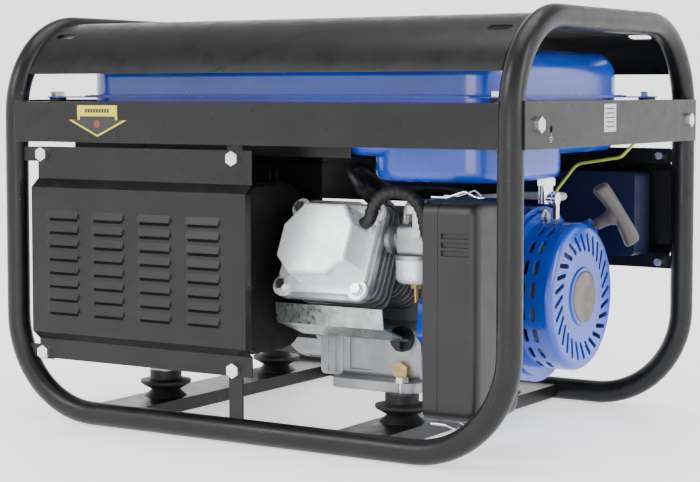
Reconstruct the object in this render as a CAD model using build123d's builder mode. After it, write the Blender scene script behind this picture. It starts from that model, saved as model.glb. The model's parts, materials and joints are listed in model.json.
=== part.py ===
from build123d import *
import os
from math import cos, radians, sin

os.makedirs("parts", exist_ok=True)

# Portable open-frame generator. Millimetres, +Z up.
# +X runs along the crankshaft from the alternator to the recoil starter.
# -Y is the valve-cover side and +Y the control-panel side.
# The origin is on the ground, under the middle of the frame.

# ---------------------------------------------------------------- driving dimensions
FRAME_H = 425.0            # height over the tubes
TUBE_R = 12.0
TUBE_WALL = 1.6
POST_X = 291.0             # post centre-lines
POST_Y = 202.0
LOW_BEND = 99.0            # centre-line radius where a post meets a bottom rail
TOP_BEND = 93.0            # centre-line radius where a post meets a top cross rail
LOW_Z = TUBE_R
TOP_Z = FRAME_H - TUBE_R
GAP = 0.1                  # clearance drawn at welded or bolted faces
SHEET = 2.0                # rail and roof sheet thickness

RAIL_TOP = 333.5
RAIL_LOW = 292.0
END_RAIL_TOP = 335.5
BOLT_R = 4.0               # M8 fasteners of the frame
HEAD_R = 7.5
HEAD_H = 5.0

CRANK_Y = 35.0
CRANK_Z = 137.0
BORE_X = 57.5              # cylinder plane along the crankshaft
BORE_R = 34.0
TILT = 25.0                # the cylinder rises this much above horizontal, towards -Y
DECK = 118.0               # head gasket face, from the crank axis along the bore
HEAD_TOP = 174.0           # valve cover joint, same way
COVER_DROP = 25.0          # the head and its cover are centred this far below the bore axis
BASE_Z = 46.0              # underside of the engine and alternator feet
CROSS_TOP = 18.0           # top of the cross members
MOUNT_X = (-175.0, 120.0)
MOUNT_Y = (-100.0, 110.0)

TANK_X = 250.0
TANK_Y = 150.0
TANK_TOP = 385.0
TANK_WALL = 1.5
FILLER = (60.0, 0.0)

GUARD_Y = -205.0           # inner face of the muffler guard's flanges
GUARD_X = (-258.0, 14.0)
PANEL_Y = 204.0            # inner face of the control panel's flanges
PANEL_X = (30.0, 276.0)

# The engine's own tilted frame: z runs out along the bore, y up across it.
BORE = Plane(
    origin=(BORE_X, CRANK_Y, CRANK_Z),
    x_dir=(1, 0, 0),
    z_dir=(0, -cos(radians(TILT)), sin(radians(TILT))),
)
CRANK_AXIS = Plane(origin=(0, CRANK_Y, CRANK_Z), x_dir=(0, 1, 0), z_dir=(1, 0, 0))


def bore_plane(height, x=0.0, y=0.0):
    """A plane across the bore axis, this far out from the crank axis."""
    return Plane(origin=BORE.from_local_coords((x, y, height)), x_dir=BORE.x_dir, z_dir=BORE.z_dir)


def crank_plane(x):
    """A plane across the crank axis at this X, looking towards +X."""
    return CRANK_AXIS.offset(x)


def facing(x, y, z, direction):
    """A plane at a point whose normal is the given direction."""
    return Plane(origin=(x, y, z), z_dir=direction)


# ================================================================ frame
def frame_tube(side, outer=TUBE_R, inner=TUBE_R - TUBE_WALL):
    """One bent tube: a bottom rail, two posts and half of both top cross rails."""
    route = [
        (-POST_X, 0, TOP_Z),
        (-POST_X, side * POST_Y, TOP_Z),
        (-POST_X, side * POST_Y, LOW_Z),
        (POST_X, side * POST_Y, LOW_Z),
        (POST_X, side * POST_Y, TOP_Z),
        (POST_X, 0, TOP_Z),
    ]
    with BuildPart() as tube:
        with BuildLine():
            FilletPolyline(*route, radius=[TOP_BEND, LOW_BEND, LOW_BEND, TOP_BEND])
        with BuildSketch(Plane(origin=route[0], z_dir=(0, side, 0))):
            Circle(outer)
            if inner:
                Circle(inner, mode=Mode.SUBTRACT)
        sweep()
    return tube


frame_tube_front = frame_tube(-1)
frame_tube_front.part.label = "frame_tube_front"
export_step(frame_tube_front.part, "parts/frame_tube_front.step")

frame_tube_back = frame_tube(1)
frame_tube_back.part.label = "frame_tube_back"
export_step(frame_tube_back.part, "parts/frame_tube_back.step")

# Roof sheet: it follows the tubes' top bends, a little inside their crown.
ROOF_OUT = 4.0             # outer face, above the tube centre-line
ROOF_LOW = 362.0           # lower edge of its flanks
ROOF_HALF = POST_X - TUBE_R - 0.2
FILLER_HOLE_R = 54.0
FLANK_SLOT = 58.0          # where the oblong holes sit on the bend, degrees above horizontal
FLANK_SLOT_X = 258.0
BEND_Y = POST_Y - TOP_BEND
BEND_Z = TOP_Z - TOP_BEND

with BuildPart() as roof_panel:
    with BuildSketch(Plane.YZ.offset(-ROOF_HALF)):
        with Locations((0, TOP_Z + ROOF_OUT - 200)):
            RectangleRounded(2 * (POST_Y + ROOF_OUT), 400, TOP_BEND + ROOF_OUT)
            RectangleRounded(
                2 * (POST_Y + ROOF_OUT - SHEET), 400 - 2 * SHEET, TOP_BEND + ROOF_OUT - SHEET,
                mode=Mode.SUBTRACT,
            )
        with Locations((0, ROOF_LOW - 200)):
            Rectangle(600, 400, mode=Mode.SUBTRACT)
    extrude(amount=2 * ROOF_HALF)
    with BuildSketch(Plane.XY.offset(FRAME_H)):
        with Locations(FILLER):
            Circle(FILLER_HOLE_R)
    extrude(amount=-30, mode=Mode.SUBTRACT)
    for end in (-1, 1):
        for side in (-1, 1):
            out = (0, side * cos(radians(FLANK_SLOT)), sin(radians(FLANK_SLOT)))
            reach = TOP_BEND + ROOF_OUT
            spot = (end * FLANK_SLOT_X, side * BEND_Y + out[1] * reach, BEND_Z + out[2] * reach)
            with BuildSketch(Plane(origin=spot, x_dir=(1, 0, 0), z_dir=out)):
                SlotOverall(26, 10)
            extrude(amount=8, both=True, mode=Mode.SUBTRACT)
roof_panel.part.label = "roof_panel"
export_step(roof_panel.part, "parts/roof_panel.step")


# The space that both tubes take up with a weld gap around it, for notching sheet parts.
tube_space = [frame_tube(side, outer=TUBE_R + GAP, inner=0).part for side in (-1, 1)]


def notch_for_tubes():
    """Cut the sheet part in hand to fit around the tubes."""
    for space in tube_space:
        add(space, mode=Mode.SUBTRACT)


# Side rails: channels along both long sides, welded between the posts.
RAIL_Y = 212.0
RAIL_HALF = 284.0
RAIL_FLANGE = 20.0
GUARD_BOLT_X = (-251.0, -7.0)
GUARD_BOLT_Z = (72.0, 279.0)

with BuildPart() as side_rails:
    with BuildSketch(Plane.YZ.offset(-RAIL_HALF)):
        for side in (-1, 1):
            with Locations((side * (RAIL_Y - SHEET / 2), (RAIL_TOP + RAIL_LOW) / 2)):
                Rectangle(SHEET, RAIL_TOP - RAIL_LOW)
            with Locations((side * (RAIL_Y - RAIL_FLANGE / 2), RAIL_TOP - SHEET / 2)):
                Rectangle(RAIL_FLANGE, SHEET)
            with Locations((side * (RAIL_Y - RAIL_FLANGE * 0.35), RAIL_LOW + SHEET / 2)):
                Rectangle(RAIL_FLANGE * 0.7, SHEET)
    extrude(amount=2 * RAIL_HALF)
    notch_for_tubes()
side_rails.part.label = "side_rails"
export_step(side_rails.part, "parts/side_rails.step")

# End rails: channels that lie against the outside of the posts, bolted to welded lugs.
END_IN = POST_X + TUBE_R + GAP
END_OUT = END_IN + SHEET
END_BOLT_Y = 178.0
END_BOLT_Z = 314.0
EARTH_Y = -150.0

with BuildPart() as end_rails:
    with BuildSketch(Plane.XZ.offset(-POST_Y)):
        for end in (-1, 1):
            with Locations((end * (END_IN + SHEET / 2), (END_RAIL_TOP + RAIL_LOW) / 2)):
                Rectangle(SHEET, END_RAIL_TOP - RAIL_LOW)
            with Locations((end * (END_OUT - 10), END_RAIL_TOP - SHEET / 2)):
                Rectangle(20, SHEET)
            with Locations((end * (END_OUT - 7), RAIL_LOW + SHEET / 2)):
                Rectangle(14, SHEET)
    extrude(amount=2 * POST_Y)
    notch_for_tubes()
    with BuildSketch(Plane.YZ.offset(-END_OUT - 1)):
        with Locations((-END_BOLT_Y, END_BOLT_Z), (END_BOLT_Y, END_BOLT_Z)):
            Circle(BOLT_R + 0.2)
    extrude(amount=2 * END_OUT + 2, mode=Mode.SUBTRACT)
    with BuildSketch(Plane.YZ.offset(END_OUT + 1)):
        with Locations((EARTH_Y, END_BOLT_Z - 4)):
            Circle(3.2)
    extrude(amount=-10, mode=Mode.SUBTRACT)
end_rails.part.label = "end_rails"
export_step(end_rails.part, "parts/end_rails.step")

# Welded brackets: guard tabs and strap, end-rail lugs, tank corner plates, panel tabs.
PLATE = 2.5
GUARD_TAB_Y = GUARD_Y + GAP
PANEL_TAB_X = (45.0, 266.0)
PANEL_BOLT_Z = (160.0, 275.0)
TANK_BOLT = (262.0, 170.0)

with BuildPart() as frame_brackets:
    # guard tabs from the left post, tab from the rail, strap from the bottom rail
    for z in GUARD_BOLT_Z:
        with Locations((-POST_X + TUBE_R - 0.3 + 19, GUARD_TAB_Y + PLATE / 2, z)):
            Box(38, PLATE, 15)
    with Locations((GUARD_BOLT_X[1], GUARD_TAB_Y + PLATE / 2, 281.0)):
        Box(18, PLATE, 21.8)
    with Locations((GUARD_BOLT_X[1], GUARD_TAB_Y + PLATE / 2, (24.1 + 80.0) / 2)):
        Box(16, PLATE, 80.0 - 24.1)
    # lugs behind the end rails
    for end in (-1, 1):
        for side in (-1, 1):
            with Locations((end * (END_IN - GAP - PLATE / 2), side * 180.0, END_BOLT_Z)):
                Box(PLATE, 29, 28)
    # corner plates that carry the tank
    for end in (-1, 1):
        for side in (-1, 1):
            with Locations((end * 266.0, side * (158.0 + 191.9) / 2, RAIL_TOP - SHEET / 2)):
                Box(34, 191.9 - 158.0, SHEET)
    # tabs for the control panel, from the back post and up from the bottom rail
    for z in PANEL_BOLT_Z:
        with Locations(((279.2 + 256.0) / 2, PANEL_Y - GAP - PLATE / 2, z)):
            Box(279.2 - 256.0, PLATE, 14)
        with Locations((PANEL_TAB_X[0], PANEL_Y - GAP - PLATE / 2, z)):
            Box(18, PLATE, 14)
    with Locations((PANEL_TAB_X[0], PANEL_Y - GAP - PLATE / 2, (24.1 + 153.0) / 2)):
        Box(16, PLATE, 153.0 - 24.1)
    with Locations((PANEL_TAB_X[0], PANEL_Y - GAP - PLATE / 2, (282.0 + 291.9) / 2)):
        Box(16, PLATE, 291.9 - 282.0)
    # bolt holes
    with BuildSketch(Plane.XZ.offset(198)):
        with Locations(*[(x, z) for x in GUARD_BOLT_X for z in GUARD_BOLT_Z]):
            Circle(BOLT_R + 0.2)
    extrude(amount=12, mode=Mode.SUBTRACT)
    with BuildSketch(Plane.XZ.offset(-198)):
        with Locations(*[(x, z) for x in PANEL_TAB_X for z in PANEL_BOLT_Z]):
            Circle(BOLT_R + 0.2)
    extrude(amount=-12, mode=Mode.SUBTRACT)
    with BuildSketch(Plane.YZ.offset(-POST_X - 20)):
        with Locations((-END_BOLT_Y, END_BOLT_Z), (END_BOLT_Y, END_BOLT_Z)):
            Circle(BOLT_R + 0.2)
    extrude(amount=2 * POST_X + 40, mode=Mode.SUBTRACT)
    with BuildSketch(Plane.XY.offset(325)):
        with GridLocations(2 * TANK_BOLT[0], 2 * TANK_BOLT[1], 2, 2):
            Circle(BOLT_R + 0.2)
    extrude(amount=12, mode=Mode.SUBTRACT)
    notch_for_tubes()
frame_brackets.part.label = "frame_brackets"
export_step(frame_brackets.part, "parts/frame_brackets.step")

# M8 hexagon bolts of the frame: heads stand on their seats, shanks pass through the holes.
WASHER_H = 4.0             # rubber washer under the tank's corner tabs
FLANGE = 1.5               # muffler guard and control panel sheet


def hex_bolt(seat, length, head_r=HEAD_R, head_h=HEAD_H, shank_r=BOLT_R):
    """A hexagon bolt: head on the seat plane, shank going back through it."""
    with BuildSketch(seat) as head:
        RegularPolygon(head_r, 6)
    extrude(head.sketch, amount=head_h)
    with BuildSketch(seat) as shank:
        Circle(shank_r)
    extrude(shank.sketch, amount=-length)


with BuildPart() as frame_bolts:
    for end in (-1, 1):
        for y in (-END_BOLT_Y, END_BOLT_Y):
            hex_bolt(facing(end * END_OUT, y, END_BOLT_Z, (end, 0, 0)), 12)
    for x in GUARD_BOLT_X:
        for z in GUARD_BOLT_Z:
            hex_bolt(facing(x, GUARD_Y - FLANGE, z, (0, -1, 0)), 12)
    for x in PANEL_TAB_X:
        for z in PANEL_BOLT_Z:
            hex_bolt(facing(x, PANEL_Y + FLANGE, z, (0, 1, 0)), 12)
    for end in (-1, 1):
        for side in (-1, 1):
            seat_z = RAIL_TOP + WASHER_H + TANK_WALL
            hex_bolt(facing(end * TANK_BOLT[0], side * TANK_BOLT[1], seat_z, (0, 0, 1)), 14)
frame_bolts.part.label = "frame_bolts"
export_step(frame_bolts.part, "parts/frame_bolts.step")

# Cross members: two inverted channels between the bottom rails.
CROSS_W = 58.0
CROSS_H = 14.0
with BuildPart() as cross_members:
    with BuildSketch(Plane.XZ.offset(-(POST_Y - TUBE_R - GAP))):
        for x in MOUNT_X:
            with Locations((x, CROSS_TOP - CROSS_H / 2)):
                Rectangle(CROSS_W, CROSS_H)
            with Locations((x, CROSS_TOP - CROSS_H / 2 - 2.5)):
                Rectangle(CROSS_W - 5, CROSS_H, mode=Mode.SUBTRACT)
    extrude(amount=2 * (POST_Y - TUBE_R - GAP))
    with BuildSketch(Plane.XY.offset(CROSS_TOP + 1)):
        with Locations(*[(x, y) for x in MOUNT_X for y in MOUNT_Y]):
            Circle(BOLT_R + 0.2)
    extrude(amount=-6, mode=Mode.SUBTRACT)
cross_members.part.label = "cross_members"
export_step(cross_members.part, "parts/cross_members.step")

# Rubber mounts: waisted blocks with a wide shoulder, and the washers under the tank tabs.
with BuildPart() as rubber_mounts:
    for x in MOUNT_X:
        for y in MOUNT_Y:
            with BuildSketch(Plane(origin=(x, y, CROSS_TOP), x_dir=(1, 0, 0), z_dir=(0, -1, 0))):
                with BuildLine():
                    Polyline((4.5, 0), (23, 0), (15, 7), (27, 14), (27, 17), (17, 18.5), (17, 28), (4.5, 28))
                    Line((4.5, 28), (4.5, 0))
                make_face()
            revolve(axis=Axis((x, y, 0), (0, 0, 1)))
    for end in (-1, 1):
        for side in (-1, 1):
            with BuildSketch(Plane.XY.offset(RAIL_TOP)):
                with Locations((end * TANK_BOLT[0], side * TANK_BOLT[1])):
                    Circle(9)
                    Circle(BOLT_R + 0.2, mode=Mode.SUBTRACT)
            extrude(amount=WASHER_H)
rubber_mounts.part.label = "rubber_mounts"
export_step(rubber_mounts.part, "parts/rubber_mounts.step")

# ================================================================ fuel tank
TANK_CORNER = 45.0
TANK_FLANGE = 8.0
SHALLOW_Z = 282.0
SUMP_Z = 258.0
SUMP_X = (100.0, TANK_X)
SUMP_Y = (-TANK_Y, 20.0)
TAB_Z = RAIL_TOP + WASHER_H          # underside of the tank's flange and tabs
NECK_R = 27.0
NECK_TOP = 396.0


def tank_flange(z):
    """The welded lip around the tank, one sheet thick, open in the middle."""
    with BuildSketch(Plane.XY.offset(z)) as lip:
        RectangleRounded(2 * (TANK_X + TANK_FLANGE), 2 * (TANK_Y + TANK_FLANGE), TANK_CORNER + TANK_FLANGE)
    extrude(lip.sketch, amount=TANK_WALL)


def upper_bulk(inset):
    """The tank's upper half, as a solid, inset by a wall thickness or none."""
    with BuildPart() as bulk:
        with BuildSketch(Plane.XY.offset(TAB_Z + TANK_WALL)):
            RectangleRounded(2 * (TANK_X - inset), 2 * (TANK_Y - inset), TANK_CORNER - inset)
        extrude(amount=TANK_TOP - inset - TAB_Z - TANK_WALL)
        fillet(bulk.faces().sort_by(Axis.Z)[-1].edges(), radius=26 - inset)
    return bulk.part


def lower_bulk(inset):
    """The tank's lower half with its sump, as a solid, inset by a wall or none."""
    with BuildPart() as bulk:
        with BuildSketch(Plane.XY.offset(TAB_Z)):
            RectangleRounded(2 * (TANK_X - inset), 2 * (TANK_Y - inset), TANK_CORNER - inset)
        extrude(amount=-(TAB_Z - SHALLOW_Z - inset))
        fillet(bulk.faces().sort_by(Axis.Z)[0].edges(), radius=14 - inset)
        with BuildSketch(Plane.XY.offset(TAB_Z)):
            with Locations(((SUMP_X[0] + SUMP_X[1]) / 2, (SUMP_Y[0] + SUMP_Y[1]) / 2)):
                RectangleRounded(
                    SUMP_X[1] - SUMP_X[0] - 2 * inset, SUMP_Y[1] - SUMP_Y[0] - 2 * inset,
                    TANK_CORNER - inset,
                )
        extrude(amount=-(TAB_Z - SUMP_Z - inset))
        fillet(bulk.faces().sort_by(Axis.Z)[0].edges(), radius=10 - inset)
    return bulk.part


with BuildPart() as tank_upper_shell:
    add(upper_bulk(0.0))
    tank_flange(TAB_Z + TANK_WALL)
    add(upper_bulk(TANK_WALL), mode=Mode.SUBTRACT)
    with BuildSketch(Plane.XY.offset(TANK_TOP - 4)):
        with Locations(FILLER):
            Circle(NECK_R)
    extrude(amount=NECK_TOP - TANK_TOP + 4)
    with BuildSketch(Plane.XY.offset(TANK_TOP - 12)):
        with Locations(FILLER):
            Circle(NECK_R - 2)
    extrude(amount=40, mode=Mode.SUBTRACT)
tank_upper_shell.part.label = "tank_upper_shell"
export_step(tank_upper_shell.part, "parts/tank_upper_shell.step")

PETCOCK = (232.0, -10.0)
with BuildPart() as tank_lower_shell:
    add(lower_bulk(0.0))
    tank_flange(TAB_Z)
    for end in (-1, 1):
        for side in (-1, 1):
            with BuildSketch(Plane.XY.offset(TAB_Z)):
                with Locations(Location((end * 246, side * 158, 0), (0, 0, end * side * 38))):
                    SlotOverall(62, 22)
            extrude(amount=TANK_WALL)
    with BuildSketch(Plane.XY.offset(TAB_Z - 5)):
        with GridLocations(2 * TANK_BOLT[0], 2 * TANK_BOLT[1], 2, 2):
            Circle(BOLT_R + 0.2)
    extrude(amount=12, mode=Mode.SUBTRACT)
    add(lower_bulk(TANK_WALL), mode=Mode.SUBTRACT)
    with BuildSketch(Plane.XY.offset(TAB_Z + TANK_WALL)):
        RectangleRounded(2 * (TANK_X - TANK_WALL), 2 * (TANK_Y - TANK_WALL), TANK_CORNER - TANK_WALL)
    extrude(amount=-TANK_WALL, mode=Mode.SUBTRACT)
    with BuildSketch(Plane.XY.offset(SUMP_Z - 2)):
        with Locations(PETCOCK):
            Circle(7)
    extrude(amount=6, mode=Mode.SUBTRACT)
tank_lower_shell.part.label = "tank_lower_shell"
export_step(tank_lower_shell.part, "parts/tank_lower_shell.step")

# Fuel cap: a ribbed disc with a skirt that turns on the neck.
CAP_R = 40.0
CAP_TOP = 413.0
with BuildPart() as fuel_cap:
    with BuildSketch(Plane.XY.offset(NECK_TOP + 0.4)):
        with Locations(FILLER):
            Circle(CAP_R)
    extrude(amount=CAP_TOP - NECK_TOP - 0.4)
    fillet(fuel_cap.faces().sort_by(Axis.Z)[-1].edges(), radius=3)
    with BuildSketch(Plane.XY.offset(387.0)):
        with Locations(FILLER):
            Circle(CAP_R - 5)
            Circle(NECK_R + 0.4, mode=Mode.SUBTRACT)
    extrude(amount=NECK_TOP + 0.4 - 387.0)
    with BuildSketch(Plane.XY.offset(NECK_TOP)):
        with Locations(FILLER):
            with PolarLocations(CAP_R + 0.6, 18):
                Circle(2.2)
    extrude(amount=CAP_TOP - NECK_TOP + 1, mode=Mode.SUBTRACT)
fuel_cap.part.label = "fuel_cap"
export_step(fuel_cap.part, "parts/fuel_cap.step")

# Petcock under the sump: union nut, turned body, outlet spigot and a lever facing +X.
PETCOCK_Z = 238.0
LEVER_SEAT = PETCOCK[0] + 9.0
with BuildPart() as petcock_body:
    with BuildSketch(Plane.XY.offset(SUMP_Z - GAP)):
        with Locations(PETCOCK):
            RegularPolygon(10, 6)
    extrude(amount=-7)
    with BuildSketch(Plane.XY.offset(SUMP_Z - 7)):
        with Locations(PETCOCK):
            Circle(7.5)
    extrude(amount=-18)
    with BuildSketch(Plane.XY.offset(SUMP_Z - GAP)):
        with Locations(PETCOCK):
            Circle(6.5)
    extrude(amount=9)
    with BuildSketch(Plane.YZ.offset(PETCOCK[0])):
        with Locations((PETCOCK[1], PETCOCK_Z)):
            Circle(7)
    extrude(amount=9)
    with BuildSketch(facing(PETCOCK[0], PETCOCK[1], PETCOCK_Z, (0, 1, 0))):
        Circle(3.0)
    extrude(amount=15)
    with BuildSketch(Plane.YZ.offset(PETCOCK[0] + 3)):
        with Locations((PETCOCK[1], PETCOCK_Z)):
            Circle(3.05)
    extrude(amount=8, mode=Mode.SUBTRACT)
petcock_body.part.label = "petcock_body"
export_step(petcock_body.part, "parts/petcock_body.step")

with BuildPart() as petcock_lever:
    with BuildSketch(Plane.YZ.offset(LEVER_SEAT + 0.3)):
        with Locations((PETCOCK[1], PETCOCK_Z)):
            Circle(6.5)
        with Locations((PETCOCK[1], PETCOCK_Z - 10)):
            Rectangle(7, 20)
    extrude(amount=4)
    with BuildSketch(Plane.YZ.offset(PETCOCK[0] + 4)):
        with Locations((PETCOCK[1], PETCOCK_Z)):
            Circle(3.0)
    extrude(amount=6)
petcock_lever.part.label = "petcock_lever"
export_step(petcock_lever.part, "parts/petcock_lever.step")


def bent_rod(points, radii, radius, bore=0.0):
    """A rod or hose along straight runs joined by tangent arcs."""
    start = Vector(*points[1]) - Vector(*points[0])
    with BuildPart() as rod:
        with BuildLine():
            FilletPolyline(*points, radius=radii)
        with BuildSketch(Plane(origin=points[0], z_dir=start)):
            Circle(radius)
            if bore:
                Circle(bore, mode=Mode.SUBTRACT)
        sweep()
    return rod


PORT_H = 146.0             # both ports, out along the bore
port_at = BORE.from_local_coords((0, 0, PORT_H))
CARB = (134.0, port_at.Y, port_at.Z)     # throat centre of the carburettor
HOSE_R = 4.0
SPIGOT = (CARB[0] - 9, CARB[1] - 2, CARB[2] + 16)    # fuel inlet of the carburettor
fuel_hose = bent_rod(
    [
        (PETCOCK[0], PETCOCK[1] + 8, PETCOCK_Z),
        (PETCOCK[0], 46, PETCOCK_Z),
        (172, 52, 236),
        (120, 10, 232),
        (119, -60, 232),
        (SPIGOT[0], SPIGOT[1], 234),
        SPIGOT,
    ],
    [24, 20, 24, 24, 12],
    HOSE_R,
    3.05,
)
fuel_hose.part.label = "fuel_hose"
export_step(fuel_hose.part, "parts/fuel_hose.step")

# ================================================================ engine
def barrel_x(x0, x1, radius, mode=Mode.ADD):
    """A cylinder about the crank axis between two X positions."""
    with BuildSketch(crank_plane(x0)) as disc:
        Circle(radius)
    extrude(disc.sketch, amount=x1 - x0, mode=mode)


CASE_X = (14.0, 132.0)
CASE_CAVITY_R = 54.0
JOURNAL_R = 17.0
RUN = 0.05                 # radial running clearance of a shaft in its bearing bore
BLOCK_DECK = 70.0          # where the finned barrel meets the crankcase
HEAD_W = 108.0
HEAD_DROP = 106.0          # head size across the bore, up and down

with BuildPart() as crankcase:
    # body, with a stepped front wall and a mounting flange
    with BuildSketch(Plane.YZ.offset(CASE_X[0])):
        with Locations((34, 129)):
            RectangleRounded(148, 150, 38)
        with Locations((-58, 82)):
            RectangleRounded(52, 56, 8)
    extrude(amount=CASE_X[1] - CASE_X[0])
    with BuildSketch(Plane.XY.offset(BASE_Z)):
        with Locations((86, 8)):
            RectangleRounded(100, 224, 12)
    extrude(amount=10)
    with BuildSketch(bore_plane(30.0)):
        RectangleRounded(84, 92, 14)
    extrude(amount=BLOCK_DECK - 30.0)
    with BuildSketch(bore_plane(BLOCK_DECK)):
        Rectangle(240, 102)
    extrude(amount=60, mode=Mode.SUBTRACT)
    # front ribs and recess
    for x in (22, 31, 40):
        with Locations((x, -83, 88)):
            Box(3, 5, 60)
    with Locations((62, -84, 90)):
        Box(26, 6, 54, mode=Mode.SUBTRACT)
    # crank chamber, main bearing, cylinder mouth
    barrel_x(CASE_X[0], 118.0, CASE_CAVITY_R, Mode.SUBTRACT)
    barrel_x(118.0, CASE_X[1], JOURNAL_R + RUN, Mode.SUBTRACT)
    with BuildSketch(bore_plane(30.0)):
        Circle(BORE_R)
    extrude(amount=50, mode=Mode.SUBTRACT)
    # oil filler and drain holes
    with BuildSketch(facing(112, -84, 66, (0, -1, 0))):
        Circle(6.0)
    extrude(amount=-14, mode=Mode.SUBTRACT)
    with BuildSketch(facing(112, -84, 98, (0, -1, 0))):
        Circle(9.05)
    extrude(amount=-16, mode=Mode.SUBTRACT)
    with BuildSketch(Plane.XY.offset(BASE_Z - 1)):
        with Locations(*[(MOUNT_X[1], y) for y in MOUNT_Y]):
            Circle(BOLT_R + 0.2)
    extrude(amount=12, mode=Mode.SUBTRACT)
crankcase.part.label = "crankcase"
export_step(crankcase.part, "parts/crankcase.step")

COVER_X = -6.0
with BuildPart() as crankcase_cover:
    barrel_x(COVER_X, CASE_X[0] - GAP, 70.0)
    barrel_x(CASE_X[0] - GAP, CASE_X[0] + 10, CASE_CAVITY_R - 0.2)
    barrel_x(0.0, CASE_X[0] + 10, 40.0, Mode.SUBTRACT)
    with BuildSketch(crank_plane(COVER_X)):
        Circle(24)
    extrude(amount=30)
    barrel_x(COVER_X, CASE_X[0] + 20, JOURNAL_R + RUN, Mode.SUBTRACT)
crankcase_cover.part.label = "crankcase_cover"
export_step(crankcase_cover.part, "parts/crankcase_cover.step")

with BuildPart() as cylinder_barrel:
    with BuildSketch(bore_plane(BLOCK_DECK + GAP)):
        Circle(BORE_R + 9)
    extrude(amount=DECK - BLOCK_DECK - 2 * GAP)
    for level in range(6):
        with BuildSketch(bore_plane(BLOCK_DECK + GAP + 2 + level * 7.6)):
            RectangleRounded(100, 96, 16)
        extrude(amount=2.6)
    with BuildSketch(bore_plane(BLOCK_DECK - 1)):
        Circle(BORE_R)
    extrude(amount=DECK - BLOCK_DECK + 2, mode=Mode.SUBTRACT)
cylinder_barrel.part.label = "cylinder_barrel"
export_step(cylinder_barrel.part, "parts/cylinder_barrel.step")

COVER_BOLT = (43.5, 41.0)  # half spacing of the valve cover bolts, across and up
with BuildPart() as cylinder_head:
    with BuildSketch(bore_plane(DECK, y=-COVER_DROP + 6)):
        RectangleRounded(88, 92, 12)
    extrude(amount=HEAD_TOP - DECK - GAP)
    for level in range(4):
        with BuildSketch(bore_plane(DECK + 8 + level * 9.0, y=-COVER_DROP + 6)):
            RectangleRounded(HEAD_W - 4, HEAD_DROP - 6, 14)
        extrude(amount=3)
    with BuildSketch(bore_plane(HEAD_TOP - 8 - GAP, y=-COVER_DROP)):
        RectangleRounded(HEAD_W, HEAD_DROP - 4, 12)
    extrude(amount=8)
    # rocker chamber
    with BuildSketch(bore_plane(HEAD_TOP, y=-COVER_DROP)):
        RectangleRounded(70, 64, 10)
    extrude(amount=-30, mode=Mode.SUBTRACT)
    # ports: exhaust to -X, intake to +X
    for end in (-1, 1):
        with BuildSketch(Plane(origin=BORE.from_local_coords((end * 37.0, 0, PORT_H)), z_dir=(end, 0, 0))):
            Circle(16)
        extrude(amount=17.6)
    # plug well at the upper right, slanting down towards the bore
    with BuildSketch(bore_plane(HEAD_TOP - 20, x=30.0, y=36.0)):
        Circle(7.05)
    extrude(amount=-22, mode=Mode.SUBTRACT)
    with BuildSketch(bore_plane(HEAD_TOP + 2, x=30.0, y=36.0)):
        Circle(13)
    extrude(amount=-22, mode=Mode.SUBTRACT)
    # tapped holes for the cover bolts
    with BuildSketch(bore_plane(HEAD_TOP + 1, y=-COVER_DROP)):
        with GridLocations(2 * COVER_BOLT[0], 2 * COVER_BOLT[1], 2, 2):
            Circle(3.2)
    extrude(amount=-14, mode=Mode.SUBTRACT)
cylinder_head.part.label = "cylinder_head"
export_step(cylinder_head.part, "parts/cylinder_head.step")

# Valve cover: a flange with four ears and a deep eight-sided dome.
COVER_FLANGE = 4.5
DOME = 28.0
with BuildPart() as valve_cover:
    with BuildSketch(bore_plane(HEAD_TOP, y=-COVER_DROP)):
        with BuildLine():
            Polyline((-50, -30), (-38, -46), (38, -46), (50, -30), (50, 30), (38, 46), (-38, 46), (-50, 30), close=True)
        make_face()
        with GridLocations(2 * COVER_BOLT[0], 2 * COVER_BOLT[1], 2, 2):
            Circle(10.5)
    extrude(amount=COVER_FLANGE)
    with BuildSketch(bore_plane(HEAD_TOP + COVER_FLANGE, y=-COVER_DROP)):
        with BuildLine():
            Polyline((-42, -20), (-24, -37), (20, -37), (41, -20), (41, 18), (26, 39), (-22, 39), (-42, 14), close=True)
        make_face()
    extrude(amount=DOME, taper=4)
    fillet(valve_cover.faces().sort_by(lambda f: BORE.to_local_coords(f.center()).Z)[-1].edges(), radius=3)
    with BuildSketch(bore_plane(HEAD_TOP, y=-COVER_DROP)):
        RectangleRounded(60, 56, 10)
    extrude(amount=COVER_FLANGE + DOME - 4, mode=Mode.SUBTRACT)
    with BuildSketch(bore_plane(HEAD_TOP - 1, y=-COVER_DROP)):
        with GridLocations(2 * COVER_BOLT[0], 2 * COVER_BOLT[1], 2, 2):
            Circle(3.2)
    extrude(amount=COVER_FLANGE + 2, mode=Mode.SUBTRACT)
valve_cover.part.label = "valve_cover"
export_step(valve_cover.part, "parts/valve_cover.step")

# Engine bolts: valve cover bolts and the studs through the rubber mounts.
with BuildPart() as engine_bolts:
    for dx in (-COVER_BOLT[0], COVER_BOLT[0]):
        for dy in (-COVER_BOLT[1], COVER_BOLT[1]):
            hex_bolt(bore_plane(HEAD_TOP + COVER_FLANGE, dx, dy - COVER_DROP), 14, 6.0, 5.0, 3.0)
    for x in MOUNT_X:
        for y in MOUNT_Y:
            hex_bolt(facing(x, y, BASE_Z + 10, (0, 0, 1)), BASE_Z + 10 - CROSS_TOP + 6, 7.0, 6.0)
engine_bolts.part.label = "engine_bolts"
export_step(engine_bolts.part, "parts/engine_bolts.step")

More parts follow.
